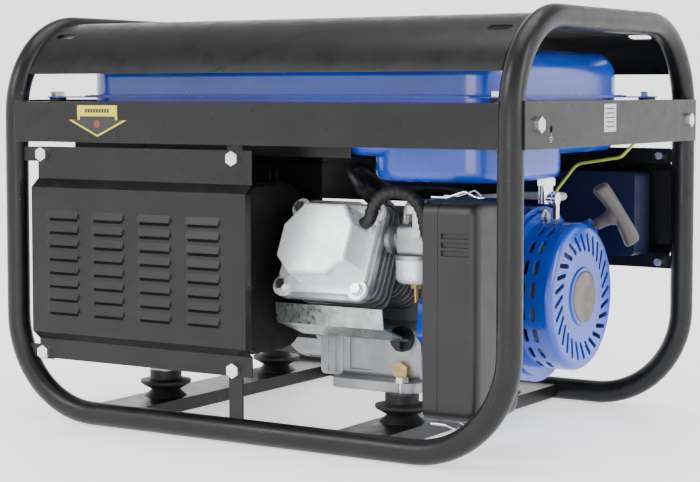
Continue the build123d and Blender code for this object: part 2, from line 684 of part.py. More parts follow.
# Deflector plate: a folded sheet under the cylinder that guides the cooling air.
with BuildPart() as deflector_plate:
    with BuildSketch(Plane.YZ.offset(2.0)):
        with BuildLine():
            Polyline(
                (-149, 134), (-146, 114), (-98, 97), (-98, 98.8), (-144.6, 115.4), (-147.4, 134), close=True,
            )
        make_face()
    extrude(amount=124)
deflector_plate.part.label = "deflector_plate"
export_step(deflector_plate.part, "parts/deflector_plate.step")

# Spark plug and its lead with the moulded cap.
PLUG_X, PLUG_Y = 30.0, 36.0
with BuildPart() as spark_plug:
    with BuildSketch(bore_plane(HEAD_TOP - 20, PLUG_X, PLUG_Y)):
        Circle(7.0)
    extrude(amount=-20)
    with BuildSketch(bore_plane(HEAD_TOP - 20, PLUG_X, PLUG_Y)):
        RegularPolygon(9.5, 6)
    extrude(amount=8)
    with BuildSketch(bore_plane(HEAD_TOP - 12, PLUG_X, PLUG_Y)):
        Circle(5)
    extrude(amount=16)
    with BuildSketch(bore_plane(HEAD_TOP + 4, PLUG_X, PLUG_Y)):
        Circle(3)
    extrude(amount=5)
spark_plug.part.label = "spark_plug"
export_step(spark_plug.part, "parts/spark_plug.step")

COIL = (156.0, -38.0, 210.0)
COIL_TOP = COIL[2] + 7.5
lead_route = [
    tuple(BORE.from_local_coords((PLUG_X, PLUG_Y, HEAD_TOP + 14))),
    tuple(BORE.from_local_coords((PLUG_X, PLUG_Y, HEAD_TOP + 28))),
    (80, -138, 269),
    (76, -110, 271),
    (100, -84, 249),
    (138, -52, 248),
    (COIL[0], COIL[1], 242),
    (COIL[0], COIL[1], COIL_TOP + GAP),
]
ignition_lead = bent_rod(lead_route, [7, 10, 14, 18, 12, 5], 4.0)
with BuildPart() as spark_plug_lead:
    add(ignition_lead.part)
    with BuildSketch(bore_plane(HEAD_TOP - 6, PLUG_X, PLUG_Y)):
        Circle(9)
    extrude(amount=24, taper=4)
    with BuildSketch(bore_plane(HEAD_TOP - 6.1, PLUG_X, PLUG_Y)):
        Circle(5.1)
    extrude(amount=10.2, mode=Mode.SUBTRACT)
    with BuildSketch(bore_plane(HEAD_TOP + 4, PLUG_X, PLUG_Y)):
        Circle(3.1)
    extrude(amount=5.2, mode=Mode.SUBTRACT)
spark_plug_lead.part.label = "spark_plug_lead"
export_step(spark_plug_lead.part, "parts/spark_plug_lead.step")

with BuildPart() as ignition_coil:
    with Locations(COIL):
        Box(20, 40, 15)
    fillet(ignition_coil.edges().filter_by(Axis.Z), radius=3)
ignition_coil.part.label = "ignition_coil"
export_step(ignition_coil.part, "parts/ignition_coil.step")

AIR_X = (190.0, 206.0, 247.0)    # air cleaner: back of base, split line, cover face
AIR_Y = (-182.0, -92.0)
AIR_Z = (37.0, 243.0)
breather_hose = bent_rod(
    [
        (99.6, -138, 218),
        (109, -138, 221),
        (113, -138, 243),
        (128, -137, 251),
        (150, -136, 249),
        (164, -136, 230),
        (168, -136, 198),
        (AIR_X[0] - GAP, -136, 198),
    ],
    [6, 12, 12, 14, 16, 12],
    5.0,
    3.0,
)
breather_hose.part.label = "breather_hose"
export_step(breather_hose.part, "parts/breather_hose.step")

# Piston at the top of its stroke, and its rod. The rod ends clear of the crankpin's circle.
PIN_H = 100.0
with BuildPart() as piston:
    with BuildSketch(bore_plane(PIN_H + 17)):
        Circle(BORE_R - 0.1)
    extrude(amount=-38)
    with BuildSketch(bore_plane(PIN_H + 13)):
        Circle(BORE_R - 4)
    extrude(amount=-40, mode=Mode.SUBTRACT)
    for groove in (0, 4, 8):
        with BuildSketch(bore_plane(PIN_H + 14 - groove)):
            Circle(BORE_R)
            Circle(BORE_R - 2, mode=Mode.SUBTRACT)
        extrude(amount=-1.5, mode=Mode.SUBTRACT)
    for end in (-1, 1):
        with BuildSketch(Plane(origin=BORE.from_local_coords((end * 13.0, 0, PIN_H)), z_dir=(end, 0, 0))):
            Circle(10)
        extrude(amount=16)
    with BuildSketch(Plane(origin=BORE.from_local_coords((-28.0, 0, PIN_H)), z_dir=(1, 0, 0))):
        Circle(7)
    extrude(amount=56)
piston.part.label = "piston"
export_step(piston.part, "parts/piston.step")

CRANK_THROW = 22.5
PIN_R = 14.0
with BuildPart() as connecting_rod:
    with BuildSketch(Plane(origin=BORE.from_local_coords((-9.0, 0, PIN_H)), z_dir=(1, 0, 0))):
        Circle(12)
    extrude(amount=18)
    with BuildSketch(bore_plane(CRANK_THROW + PIN_R + 3.5)):
        SlotOverall(12, 11)
    extrude(amount=PIN_H - CRANK_THROW - PIN_R - 3.5)
    with BuildSketch(Plane(origin=BORE.from_local_coords((-10.0, 0, PIN_H)), z_dir=(1, 0, 0))):
        Circle(7.05)
    extrude(amount=20, mode=Mode.SUBTRACT)
connecting_rod.part.label = "connecting_rod"
export_step(connecting_rod.part, "parts/connecting_rod.step")

# Crankshaft: two journals, two webs and the crankpin, with a taper end for the rotor.
ROTOR_X = (-152.0, -64.0)
WHEEL_X = (146.0, 176.0)
SHAFT_END = 209.0
WEB_R = 46.0
with BuildPart() as crankshaft:
    barrel_x(ROTOR_X[0] - 34, COVER_X - 10, 11.0)
    barrel_x(COVER_X - 10, 34.0, JOURNAL_R)
    for x in (34.0, 68.0):
        barrel_x(x, x + 13.0, WEB_R)
    with BuildSketch(crank_plane(46.0)):
        with Locations((-cos(radians(TILT)) * CRANK_THROW, sin(radians(TILT)) * CRANK_THROW)):
            Circle(PIN_R)
    extrude(amount=23.0)
    barrel_x(81.0, WHEEL_X[0], JOURNAL_R)
    barrel_x(WHEEL_X[0], SHAFT_END, 12.0)
crankshaft.part.label = "crankshaft"
export_step(crankshaft.part, "parts/crankshaft.step")

# Flywheel with its cooling fan blades.
WHEEL_R = 80.0
with BuildPart() as flywheel:
    barrel_x(WHEEL_X[0], WHEEL_X[0] + 9, WHEEL_R - 6)
    barrel_x(WHEEL_X[0], WHEEL_X[1] - 10, WHEEL_R)
    barrel_x(WHEEL_X[0] - 4, WHEEL_X[1] - 10, WHEEL_R - 12, Mode.SUBTRACT)
    barrel_x(WHEEL_X[0], WHEEL_X[0] + 9, WHEEL_R - 11)
    barrel_x(WHEEL_X[0], WHEEL_X[1] - 4, 24.0)
    barrel_x(WHEEL_X[0], WHEEL_X[0] + 12, 30.0)
    with BuildSketch(crank_plane(WHEEL_X[0] + 9)):
        with PolarLocations(62, 14):
            with Locations(Location((0, 0, 0), (0, 0, 35))):
                SlotOverall(28, 3.2)
    extrude(amount=WHEEL_X[1] - WHEEL_X[0] - 9)
    barrel_x(WHEEL_X[0] - 5, WHEEL_X[1] + 5, 12.0, Mode.SUBTRACT)
flywheel.part.label = "flywheel"
export_step(flywheel.part, "parts/flywheel.step")

# ================================================================ alternator
STATOR_R = 82.0
STATOR_BORE = 51.0
AIR_GAP = 1.0
with BuildPart() as alternator_rotor:
    barrel_x(ROTOR_X[0], ROTOR_X[1], STATOR_BORE - AIR_GAP)
    for side in (-1, 1):
        with BuildSketch(crank_plane(ROTOR_X[0] - 1)):
            with Locations((side * 46, 0)):
                Rectangle(22, 26)
        extrude(amount=ROTOR_X[1] - ROTOR_X[0] + 2, mode=Mode.SUBTRACT)
    barrel_x(ROTOR_X[1], ROTOR_X[1] + 14, 40.0)
    barrel_x(ROTOR_X[0] - 6, ROTOR_X[1] + 20, 11.0, Mode.SUBTRACT)
alternator_rotor.part.label = "alternator_rotor"
export_step(alternator_rotor.part, "parts/alternator_rotor.step")

with BuildPart() as alternator_stator:
    barrel_x(-146.0, -68.0, STATOR_R)
    barrel_x(-147.0, -67.0, STATOR_BORE, Mode.SUBTRACT)
    barrel_x(-154.0, -146.0, STATOR_R - 8)
    barrel_x(-68.0, -60.0, STATOR_R - 8)
    barrel_x(-155.0, -145.0, STATOR_BORE + 4, Mode.SUBTRACT)
    barrel_x(-69.0, -59.0, STATOR_BORE + 4, Mode.SUBTRACT)
alternator_stator.part.label = "alternator_stator"
export_step(alternator_stator.part, "parts/alternator_stator.step")

# Front and rear brackets; the rear one carries the bearing and stands on two feet.
with BuildPart() as alternator_brackets:
    barrel_x(-67.9, COVER_X - GAP, STATOR_R + 3)
    barrel_x(-68.9, COVER_X - GAP - 8, STATOR_R - 4, Mode.SUBTRACT)
    barrel_x(-20.0, COVER_X, 30.0, Mode.SUBTRACT)
    with BuildSketch(crank_plane(-66)):
        with PolarLocations(STATOR_R, 10):
            Rectangle(20, 14)
    extrude(amount=40, mode=Mode.SUBTRACT)
    barrel_x(-190.0, -146.1, STATOR_R + 3)
    barrel_x(-184.0, -145.1, STATOR_R - 4, Mode.SUBTRACT)
    barrel_x(-190.0, -160.0, 26.0)
    barrel_x(-180.0, -159.0, 18.0, Mode.SUBTRACT)
    barrel_x(-190.5, -170.0, 11.0 + RUN, Mode.SUBTRACT)
    with BuildSketch(Plane.XY.offset(BASE_Z)):
        with Locations((MOUNT_X[0], (MOUNT_Y[0] + MOUNT_Y[1]) / 2)):
            RectangleRounded(28, MOUNT_Y[1] - MOUNT_Y[0] + 30, 8)
    extrude(amount=10)
    for side in (-1, 1):
        with Locations((MOUNT_X[0], CRANK_Y + side * 46, 66)):
            Box(24, 14, 30)
    with BuildSketch(crank_plane(-192)):
        with PolarLocations(54, 12):
            SlotOverall(26, 7)
    extrude(amount=9, mode=Mode.SUBTRACT)
    with BuildSketch(Plane.XY.offset(BASE_Z - 1)):
        with Locations(*[(MOUNT_X[0], y) for y in MOUNT_Y]):
            Circle(BOLT_R + 0.2)
    extrude(amount=12, mode=Mode.SUBTRACT)
    barrel_x(-146.1, -140.0, STATOR_R + 0.1, Mode.SUBTRACT)
alternator_brackets.part.label = "alternator_brackets"
export_step(alternator_brackets.part, "parts/alternator_brackets.step")

# ================================================================ starter and cooling shroud
SHROUD_X = (WHEEL_X[0] - 8, 205.0)
SHROUD_R = 90.0
SHROUD_T = 2.5
RECOIL_X = 252.0
RECOIL_R = 75.0
FACE_R = 68.0
HUB_R = 30.0


def shroud_bulk(shrink, x0, x1, arm_x1):
    """The shroud's outer or inner form: a drum with an arm reaching over the cylinder."""
    with BuildPart() as bulk:
        with BuildSketch(crank_plane(x0)):
            Circle(SHROUD_R - shrink)
        extrude(amount=x1 - x0)
        with BuildSketch(Plane.YZ.offset(x0)):
            with BuildLine():
                Polyline(
                    (CRANK_Y, CRANK_Z - 70 + shrink), (-80 + shrink, 84 + shrink),
                    (-104 + shrink, 104), (-100 + shrink, 136), (-72 + shrink, 158),
                    (-72 + shrink, 236 - shrink), (CRANK_Y - 40, 236 - shrink),
                    (CRANK_Y, CRANK_Z + 60), close=True,
                )
            make_face()
        extrude(amount=arm_x1 - x0)
    return bulk.part


with BuildPart() as fan_shroud:
    add(shroud_bulk(0.0, SHROUD_X[0], SHROUD_X[1], 182.0))
    add(shroud_bulk(SHROUD_T, SHROUD_X[0] - 1, SHROUD_X[1] - SHROUD_T, 182.0 - SHROUD_T), mode=Mode.SUBTRACT)
    barrel_x(SHROUD_X[1] - 5, SHROUD_X[1] + 1, 62.0, Mode.SUBTRACT)
    with BuildSketch(Plane.XY.offset(COIL_TOP + 4)):
        with Locations((COIL[0], COIL[1])):
            Circle(5)
    extrude(amount=40, mode=Mode.SUBTRACT)
fan_shroud.part.label = "fan_shroud"
export_step(fan_shroud.part, "parts/fan_shroud.step")

# Recoil housing: stepped drum with swirling slots in its face and side slots.
PULL = Vector(0.88, 0.10, 0.46).normalized()    # the way the rope leaves
ROPE_EXIT = Vector(246.0, 72.0, 206.0)
with BuildPart() as recoil_housing:
    barrel_x(SHROUD_X[1] + GAP, SHROUD_X[1] + 4, 84.0)
    barrel_x(SHROUD_X[1] + GAP, RECOIL_X, RECOIL_R)
    fillet(recoil_housing.faces().sort_by(Axis.X)[-1].edges(), radius=RECOIL_R - FACE_R)
    with BuildSketch(Plane(origin=ROPE_EXIT - PULL * 26, z_dir=PULL)):
        Circle(9)
    extrude(amount=26)
    barrel_x(SHROUD_X[1], RECOIL_X - 3, RECOIL_R - 3, Mode.SUBTRACT)
    with BuildSketch(crank_plane(RECOIL_X - 6)):
        with PolarLocations(55, 28):
            with Locations(Location((0, 0, 0), (0, 0, 32))):
                SlotOverall(21, 4.6)
    extrude(amount=10, mode=Mode.SUBTRACT)
    with BuildSketch(crank_plane(RECOIL_X - 3)):
        Circle(HUB_R)
    extrude(amount=5)
    fillet(recoil_housing.faces().sort_by(Axis.X)[-1].edges(), radius=1.6)
    for turn in range(20):
        angle = radians(turn * 18 + 9)
        out = (0, cos(angle), sin(angle))
        spot = (SHROUD_X[1] + 22, CRANK_Y + out[1] * RECOIL_R, CRANK_Z + out[2] * RECOIL_R)
        if 30 < turn * 18 + 9 < 84:
            continue
        with BuildSketch(Plane(origin=spot, x_dir=(1, 0, 0), z_dir=out)):
            with GridLocations(11, 0, 2, 1):
                SlotOverall(16, 5, rotation=90)
        extrude(amount=-6, both=True, mode=Mode.SUBTRACT)
    with BuildSketch(crank_plane(SHROUD_X[1] + 6)):
        Circle(6.0)
    extrude(amount=RECOIL_X - SHROUD_X[1] - 8)
    with BuildSketch(Plane(origin=ROPE_EXIT - PULL * 30, z_dir=PULL)):
        Circle(3.0)
    extrude(amount=34, mode=Mode.SUBTRACT)
recoil_housing.part.label = "recoil_housing"
export_step(recoil_housing.part, "parts/recoil_housing.step")

with BuildPart() as recoil_pulley:
    barrel_x(SHROUD_X[1] + 14, SHROUD_X[1] + 30, 62.0)
    barrel_x(SHROUD_X[1] + 19, SHROUD_X[1] + 25, 63.0, Mode.SUBTRACT)
    barrel_x(SHROUD_X[1] + 19, SHROUD_X[1] + 25, 48.0)
    barrel_x(SHROUD_X[1] + 13, SHROUD_X[1] + 31, 6.05, Mode.SUBTRACT)
recoil_pulley.part.label = "recoil_pulley"
export_step(recoil_pulley.part, "parts/recoil_pulley.step")

# Starter handle: a rounded bar across the rope with a tapering stem.
BAR = Vector(0.407, 0.338, -0.852).normalized()
HANDLE_AT = ROPE_EXIT + PULL * 30
with BuildPart() as recoil_handle:
    with BuildSketch(Plane(origin=ROPE_EXIT + PULL * 1.0, x_dir=BAR, z_dir=PULL)):
        Circle(6)
    extrude(amount=30, taper=-6)
    with BuildSketch(Plane(origin=HANDLE_AT - BAR * 37, x_dir=PULL, z_dir=BAR)):
        SlotOverall(21, 17)
    extrude(amount=74)
    fillet(recoil_handle.edges().filter_by(GeomType.LINE, reverse=True).sort_by(
        lambda e: abs((e.center() - HANDLE_AT).dot(BAR)))[-8:], radius=5)
    with BuildSketch(Plane(origin=ROPE_EXIT, z_dir=PULL)):
        Circle(2.6)
    extrude(amount=24, mode=Mode.SUBTRACT)
recoil_handle.part.label = "recoil_handle"
export_step(recoil_handle.part, "parts/recoil_handle.step")

with BuildPart() as recoil_rope:
    with BuildSketch(Plane(origin=ROPE_EXIT - PULL * 20, z_dir=PULL)):
        Circle(2.5)
    extrude(amount=42)
recoil_rope.part.label = "recoil_rope"
export_step(recoil_rope.part, "parts/recoil_rope.step")

# ================================================================ intake
BOWL_R = 20.0
THROAT_R = 9.0
INTAKE_X = 112.2           # joint face of the head's intake port
with BuildPart() as carburettor_body:
    with Locations((CARB[0] + 2, CARB[1], CARB[2])):
        Box(30, 30, 30)
    fillet(carburettor_body.edges().filter_by(Axis.X), radius=5)
    with BuildSketch(Plane.YZ.offset(INTAKE_X)):
        with Locations((port_at.Y, port_at.Z)):
            SlotOverall(50, 26)
    extrude(amount=5)
    with BuildSketch(Plane.YZ.offset(INTAKE_X + 5)):
        with Locations((CARB[1], CARB[2])):
            Circle(13)
    extrude(amount=40)
    with BuildSketch(Plane.XY.offset(CARB[2] - 15)):
        with Locations((CARB[0], CARB[1])):
            Circle(BOWL_R + 1)
    extrude(amount=-4)
    with BuildSketch(Plane.XY.offset(CARB[2] + 14)):
        with Locations((SPIGOT[0], SPIGOT[1])):
            Circle(3.0)
    extrude(amount=6.5)
    with BuildSketch(Plane.YZ.offset(INTAKE_X - 1)):
        with Locations((CARB[1], CARB[2])):
            Circle(THROAT_R)
    extrude(amount=60, mode=Mode.SUBTRACT)
    with BuildSketch(facing(CARB[0] + 10, CARB[1] - 15.5, CARB[2] + 8, (0, -1, 0))):
        Circle(2.55)
    extrude(amount=-8, mode=Mode.SUBTRACT)
    with BuildSketch(facing(CARB[0] + 8, CARB[1] + 2, CARB[2] + 15.2, (0, 0, 1))):
        Circle(2.55)
    extrude(amount=-8, mode=Mode.SUBTRACT)
carburettor_body.part.label = "carburettor_body"
export_step(carburettor_body.part, "parts/carburettor_body.step")

BOWL_TOP = CARB[2] - 19.0 - GAP
with BuildPart() as float_bowl:
    with BuildSketch(Plane.XY.offset(BOWL_TOP)):
        with Locations((CARB[0], CARB[1])):
            Circle(BOWL_R)
    extrude(amount=-24)
    fillet(float_bowl.faces().sort_by(Axis.Z)[0].edges(), radius=7)
    with BuildSketch(Plane.XY.offset(BOWL_TOP)):
        with Locations((CARB[0], CARB[1])):
            Circle(BOWL_R - 1.5)
    extrude(amount=-21, mode=Mode.SUBTRACT)
    with BuildSketch(Plane.XY.offset(BOWL_TOP)):
        with Locations((CARB[0], CARB[1])):
            Circle(3.1)
    extrude(amount=-30, mode=Mode.SUBTRACT)
float_bowl.part.label = "float_bowl"
export_step(float_bowl.part, "parts/float_bowl.step")

# Drain screws: brass bowl screw with its drain spigot, and the crankcase oil plug.
with BuildPart() as drain_screws:
    with BuildSketch(facing(CARB[0], CARB[1], BOWL_TOP - 24.1, (0, 0, -1))):
        RegularPolygon(6, 6)
    extrude(amount=5)
    with BuildSketch(facing(CARB[0], CARB[1], BOWL_TOP - 24.1, (0, 0, 1))):
        Circle(3)
    extrude(amount=20)
    with BuildSketch(facing(CARB[0], CARB[1], BOWL_TOP - 29.1, (0, 0, -1))):
        Circle(2.4)
    extrude(amount=14)
    with BuildSketch(facing(112, -84.1, 66, (0, -1, 0))):
        RegularPolygon(9, 6)
    extrude(amount=7)
    with BuildSketch(facing(112, -84.1, 66, (0, 1, 0))):
        Circle(5.9)
    extrude(amount=12)
drain_screws.part.label = "drain_screws"
export_step(drain_screws.part, "parts/drain_screws.step")

CHOKE = (CARB[0] + 10, CARB[1] - 15.0, CARB[2] + 8)
with BuildPart() as choke_lever:
    with BuildSketch(facing(CHOKE[0], CHOKE[1] - 0.3, CHOKE[2], (0, -1, 0))):
        Circle(6)
    extrude(amount=3)
    with Locations((CHOKE[0], CHOKE[1] - 1.8, CHOKE[2] + 13)):
        Box(7, 3, 26)
    with Locations((CHOKE[0], CHOKE[1] - 5.8, CHOKE[2] + 23)):
        Box(12, 8, 8)
    with BuildSketch(facing(CHOKE[0], CHOKE[1] - 0.3, CHOKE[2], (0, 1, 0))):
        Circle(2.5)
    extrude(amount=7)
choke_lever.part.label = "choke_lever"
export_step(choke_lever.part, "parts/choke_lever.step")

# Throttle lever on top of the carburettor, turned by the governor.
THROTTLE = (CARB[0] + 8, CARB[1] + 2, CARB[2] + 15.0)
with BuildPart() as governor_arm:
    with BuildSketch(Plane.XY.offset(THROTTLE[2] + 0.3)):
        with Locations((THROTTLE[0], THROTTLE[1])):
            Circle(5)
        with Locations((THROTTLE[0] + 6, THROTTLE[1])):
            Rectangle(12, 6)
    extrude(amount=2)
    with BuildSketch(Plane.XY.offset(THROTTLE[2] - 6)):
        with Locations((THROTTLE[0], THROTTLE[1])):
            Circle(2.5)
    extrude(amount=10)
    with BuildSketch(Plane.XY.offset(THROTTLE[2] + 1)):
        with Locations((THROTTLE[0] + 10, THROTTLE[1])):
            Circle(1.8)
    extrude(amount=9)
governor_arm.part.label = "governor_arm"
export_step(governor_arm.part, "parts/governor_arm.step")

# Intake duct: carburettor mouth to the air cleaner.
DUCT_X = INTAKE_X + 45.2
with BuildPart() as intake_duct:
    with BuildSketch(Plane.YZ.offset(DUCT_X)):
        with Locations((CARB[1], CARB[2])):
            Circle(16)
    extrude(amount=8)
    with BuildSketch(Plane.YZ.offset(DUCT_X + 8)):
        with Locations((CARB[1] - 8, CARB[2])):
            RectangleRounded(34, 32, 6)
    extrude(amount=AIR_X[0] - DUCT_X - 8 - GAP)
    with BuildSketch(Plane.YZ.offset(DUCT_X - 1)):
        with Locations((CARB[1], CARB[2])):
            Circle(THROAT_R + 2)
    extrude(amount=60, mode=Mode.SUBTRACT)
intake_duct.part.label = "intake_duct"
export_step(intake_duct.part, "parts/intake_duct.step")

# Air cleaner: base tray, lift-off cover, foam element and two wire clips.
AIR_MID_Y = (AIR_Y[0] + AIR_Y[1]) / 2
AIR_MID_Z = (AIR_Z[0] + AIR_Z[1]) / 2
AIR_W = AIR_Y[1] - AIR_Y[0]
AIR_H = AIR_Z[1] - AIR_Z[0]
AIR_WALL = 2.5
with BuildPart() as air_cleaner_base:
    with BuildSketch(Plane.YZ.offset(AIR_X[0])):
        with Locations((AIR_MID_Y, AIR_MID_Z)):
            RectangleRounded(AIR_W, AIR_H, 14)
    extrude(amount=AIR_X[1] - AIR_X[0] - 0.3)
    with BuildSketch(Plane.YZ.offset(AIR_X[0] + AIR_WALL)):
        with Locations((AIR_MID_Y, AIR_MID_Z)):
            RectangleRounded(AIR_W - 2 * AIR_WALL, AIR_H - 2 * AIR_WALL, 12)
    extrude(amount=30, mode=Mode.SUBTRACT)
    with BuildSketch(Plane.YZ.offset(AIR_X[0] - 1)):
        with Locations((CARB[1] - 8, CARB[2])):
            Circle(THROAT_R + 2)
    extrude(amount=10, mode=Mode.SUBTRACT)
air_cleaner_base.part.label = "air_cleaner_base"
export_step(air_cleaner_base.part, "parts/air_cleaner_base.step")

RIB_Z = (211.0, 203.0, 195.0)
with BuildPart() as air_cleaner_cover:
    with BuildSketch(Plane.YZ.offset(AIR_X[1])):
        with Locations((AIR_MID_Y, AIR_MID_Z)):
            RectangleRounded(AIR_W, AIR_H, 14)
    extrude(amount=AIR_X[2] - AIR_X[1])
    fillet(air_cleaner_cover.faces().sort_by(Axis.X)[-1].edges(), radius=9)
    with BuildSketch(Plane.YZ.offset(AIR_X[1] - 1)):
        with Locations((AIR_MID_Y, AIR_MID_Z)):
            RectangleRounded(AIR_W - 2 * AIR_WALL, AIR_H - 2 * AIR_WALL, 12)
    extrude(amount=AIR_X[2] - AIR_X[1] - 5, mode=Mode.SUBTRACT)
    for z in RIB_Z:
        with Locations((AIR_X[1] + 18, AIR_Y[0] + 0.5, z)):
            Box(29, 3, 5, mode=Mode.SUBTRACT)
air_cleaner_cover.part.label = "air_cleaner_cover"
export_step(air_cleaner_cover.part, "parts/air_cleaner_cover.step")

with BuildPart() as filter_element:
    with Locations((AIR_X[0] + 26, AIR_MID_Y, AIR_MID_Z)):
        Box(30, AIR_W - 2 * AIR_WALL - 4, AIR_H - 2 * AIR_WALL - 4)
    fillet(filter_element.edges().filter_by(Axis.X), radius=9)
filter_element.part.label = "filter_element"
export_step(filter_element.part, "parts/filter_element.step")

CLIP_Y = AIR_Y[0] + 22.0
for side, name in ((1, "air_cleaner_clip_top"), (-1, "air_cleaner_clip_bottom")):
    edge = AIR_Z[1] if side > 0 else AIR_Z[0]
    over = edge + side * 3.0
    high = edge + side * 9.0
    clip = bent_rod(
        [
            (AIR_X[0] + 4, CLIP_Y - 12, over),
            (AIR_X[0] + 20, CLIP_Y - 12, over),
            (AIR_X[1] + 22, CLIP_Y - 10, high),
            (AIR_X[2] - 8, CLIP_Y - 6, over),
            (AIR_X[2] - 8, CLIP_Y + 6, over),
            (AIR_X[1] + 22, CLIP_Y + 10, high),
            (AIR_X[0] + 20, CLIP_Y + 12, over),
            (AIR_X[0] + 4, CLIP_Y + 12, over),
        ],
        3.0,
        1.2,
    )
    clip.part.label = name
    export_step(clip.part, f"parts/{name}.step")

# ================================================================ exhaust
MUFFLER_X = (-236.0, -10.0)
MUFFLER_Y = (-190.0, -82.0)
MUFFLER_Z = (84.0, 250.0)
OUTLET_R = 9.5
with BuildPart() as muffler_body:
    with BuildSketch(Plane.YZ.offset(MUFFLER_X[0])):
        with Locations(((MUFFLER_Y[0] + MUFFLER_Y[1]) / 2, (MUFFLER_Z[0] + MUFFLER_Z[1]) / 2)):
            RectangleRounded(MUFFLER_Y[1] - MUFFLER_Y[0], MUFFLER_Z[1] - MUFFLER_Z[0], 30)
    extrude(amount=MUFFLER_X[1] - MUFFLER_X[0])
    for x in (MUFFLER_X[0] + 6, MUFFLER_X[1] - 9):
        with BuildSketch(Plane.YZ.offset(x)):
            with Locations(((MUFFLER_Y[0] + MUFFLER_Y[1]) / 2, (MUFFLER_Z[0] + MUFFLER_Z[1]) / 2)):
                RectangleRounded(
                    MUFFLER_Y[1] - MUFFLER_Y[0] + 5, MUFFLER_Z[1] - MUFFLER_Z[0] + 5, 32,
                )
        extrude(amount=3)
    with BuildSketch(Plane.YZ.offset(MUFFLER_X[0] + 2)):
        with Locations(((MUFFLER_Y[0] + MUFFLER_Y[1]) / 2, (MUFFLER_Z[0] + MUFFLER_Z[1]) / 2)):
            RectangleRounded(
                MUFFLER_Y[1] - MUFFLER_Y[0] - 4, MUFFLER_Z[1] - MUFFLER_Z[0] - 4, 28,
            )
    extrude(amount=MUFFLER_X[1] - MUFFLER_X[0] - 4, mode=Mode.SUBTRACT)
    # pipe to the exhaust port, with its flange
    with BuildSketch(Plane.YZ.offset(MUFFLER_X[1] - 3)):
        with Locations((port_at.Y, port_at.Z)):
            Circle(14)
    extrude(amount=2.8 - MUFFLER_X[1] + 3)
    with BuildSketch(Plane.YZ.offset(-2.2)):
        with Locations((port_at.Y, port_at.Z)):
            SlotOverall(54, 28)
    extrude(amount=5)
    with BuildSketch(Plane.YZ.offset(MUFFLER_X[1] - 6)):
        with Locations((port_at.Y, port_at.Z)):
            Circle(11.5)
    extrude(amount=20, mode=Mode.SUBTRACT)
    # outlet
    with BuildSketch(Plane.YZ.offset(MUFFLER_X[0] + 3)):
        with Locations((-136, 205)):
            Circle(OUTLET_R + 2)
    extrude(amount=-24)
    with BuildSketch(Plane.YZ.offset(MUFFLER_X[0] + 6)):
        with Locations((-136, 205)):
            Circle(OUTLET_R)
    extrude(amount=-30, mode=Mode.SUBTRACT)
muffler_body.part.label = "muffler_body"
export_step(muffler_body.part, "parts/muffler_body.step")

# Muffler guard: a hat-shaped sheet with four columns of pressed louvres.
FACE_OUT = 11.0            # the raised face stands this far off the flanges
FACE_Z = (95.0, 245.0)
FLANGE_Z = (66.0, 287.0)
STEP_RUN = 9.0             # height that each sloping step takes
LOUVRE = (40.0, 13.9)      # louvre length, and row pitch
COLUMN_X = (-214.8, -156.0, -96.4, -36.5)
ROW_TOP = 216.5
LOUVRE_OUT = 2.6


def hat_profile(side, inner, face_z, flange_z):
    """Outline of a hat section of sheet in the YZ plane; side says which way it faces."""
    low, high = face_z
    foot, head = flange_z
    steps = [(0, head), (0, high + STEP_RUN), (FACE_OUT, high), (FACE_OUT, low), (0, low - STEP_RUN), (0, foot)]
    outer_line = [(side * (inner + out + FLANGE), z) for out, z in steps]
    inner_line = [(side * (inner + out), z) for out, z in steps]
    return outer_line + inner_line[::-1]


GUARD_IN = abs(GUARD_Y)
FACE_Y = GUARD_Y - FACE_OUT - FLANGE
with BuildPart() as louvre_hood:
    with BuildSketch(Plane.YZ.offset(-LOUVRE[0] / 2)):
        with BuildLine():
            Polyline((0.5, 6.5), (-LOUVRE_OUT, -2.5), (0.5, -2.5), close=True)
        make_face()
    extrude(amount=LOUVRE[0])
with BuildPart() as louvre_void:
    with BuildSketch(Plane.YZ.offset(-LOUVRE[0] / 2 + 1.2)):
        with BuildLine():
            Polyline((3, 4.6), (0.6, 4.6), (-LOUVRE_OUT + 1.3, -2.5), (-LOUVRE_OUT + 1.3, -3), (3, -3), close=True)
        make_face()
    extrude(amount=LOUVRE[0] - 2.4)

with BuildPart() as muffler_guard:
    with BuildSketch(Plane.YZ.offset(GUARD_X[0])):
        with BuildLine():
            Polyline(*hat_profile(-1, GUARD_IN, FACE_Z, FLANGE_Z), close=True)
        make_face()
    extrude(amount=GUARD_X[1] - GUARD_X[0])
    for x in (GUARD_X[0] + FLANGE / 2, GUARD_X[1] - FLANGE / 2):
        with Locations((x, GUARD_Y - FACE_OUT + 3.9, (FACE_Z[0] + FACE_Z[1]) / 2)):
            Box(FLANGE, 8, FACE_Z[1] - FACE_Z[0])
    spots = [(x, FACE_Y, ROW_TOP - row * LOUVRE[1]) for x in COLUMN_X for row in range(8)]
    with Locations(*spots):
        add(louvre_hood.part)
        add(louvre_void.part, mode=Mode.SUBTRACT)
    with BuildSketch(Plane.XZ.offset(-GUARD_Y - 3)):
        with Locations(*[(x, z) for x in GUARD_BOLT_X for z in GUARD_BOLT_Z]):
            Circle(BOLT_R + 0.2)
    extrude(amount=8, mode=Mode.SUBTRACT)
muffler_guard.part.label = "muffler_guard"
export_step(muffler_guard.part, "parts/muffler_guard.step")

# ================================================================ control panel
PANEL_FACE_Z = (178.0, 258.0)
PANEL_FLANGE_Z = (153.0, 283.0)
PANEL_FACE_Y = PANEL_Y + FACE_OUT + FLANGE
SOCKET_X = (95.0, 165.0)
SOCKET_Z = 212.0
RECESS_R = 19.5
RECESS_DEPTH = 16.0
BREAKER = (212.0, 236.0)
SWITCH = (226.0, 200.0)
BUTTON_R = 6.0

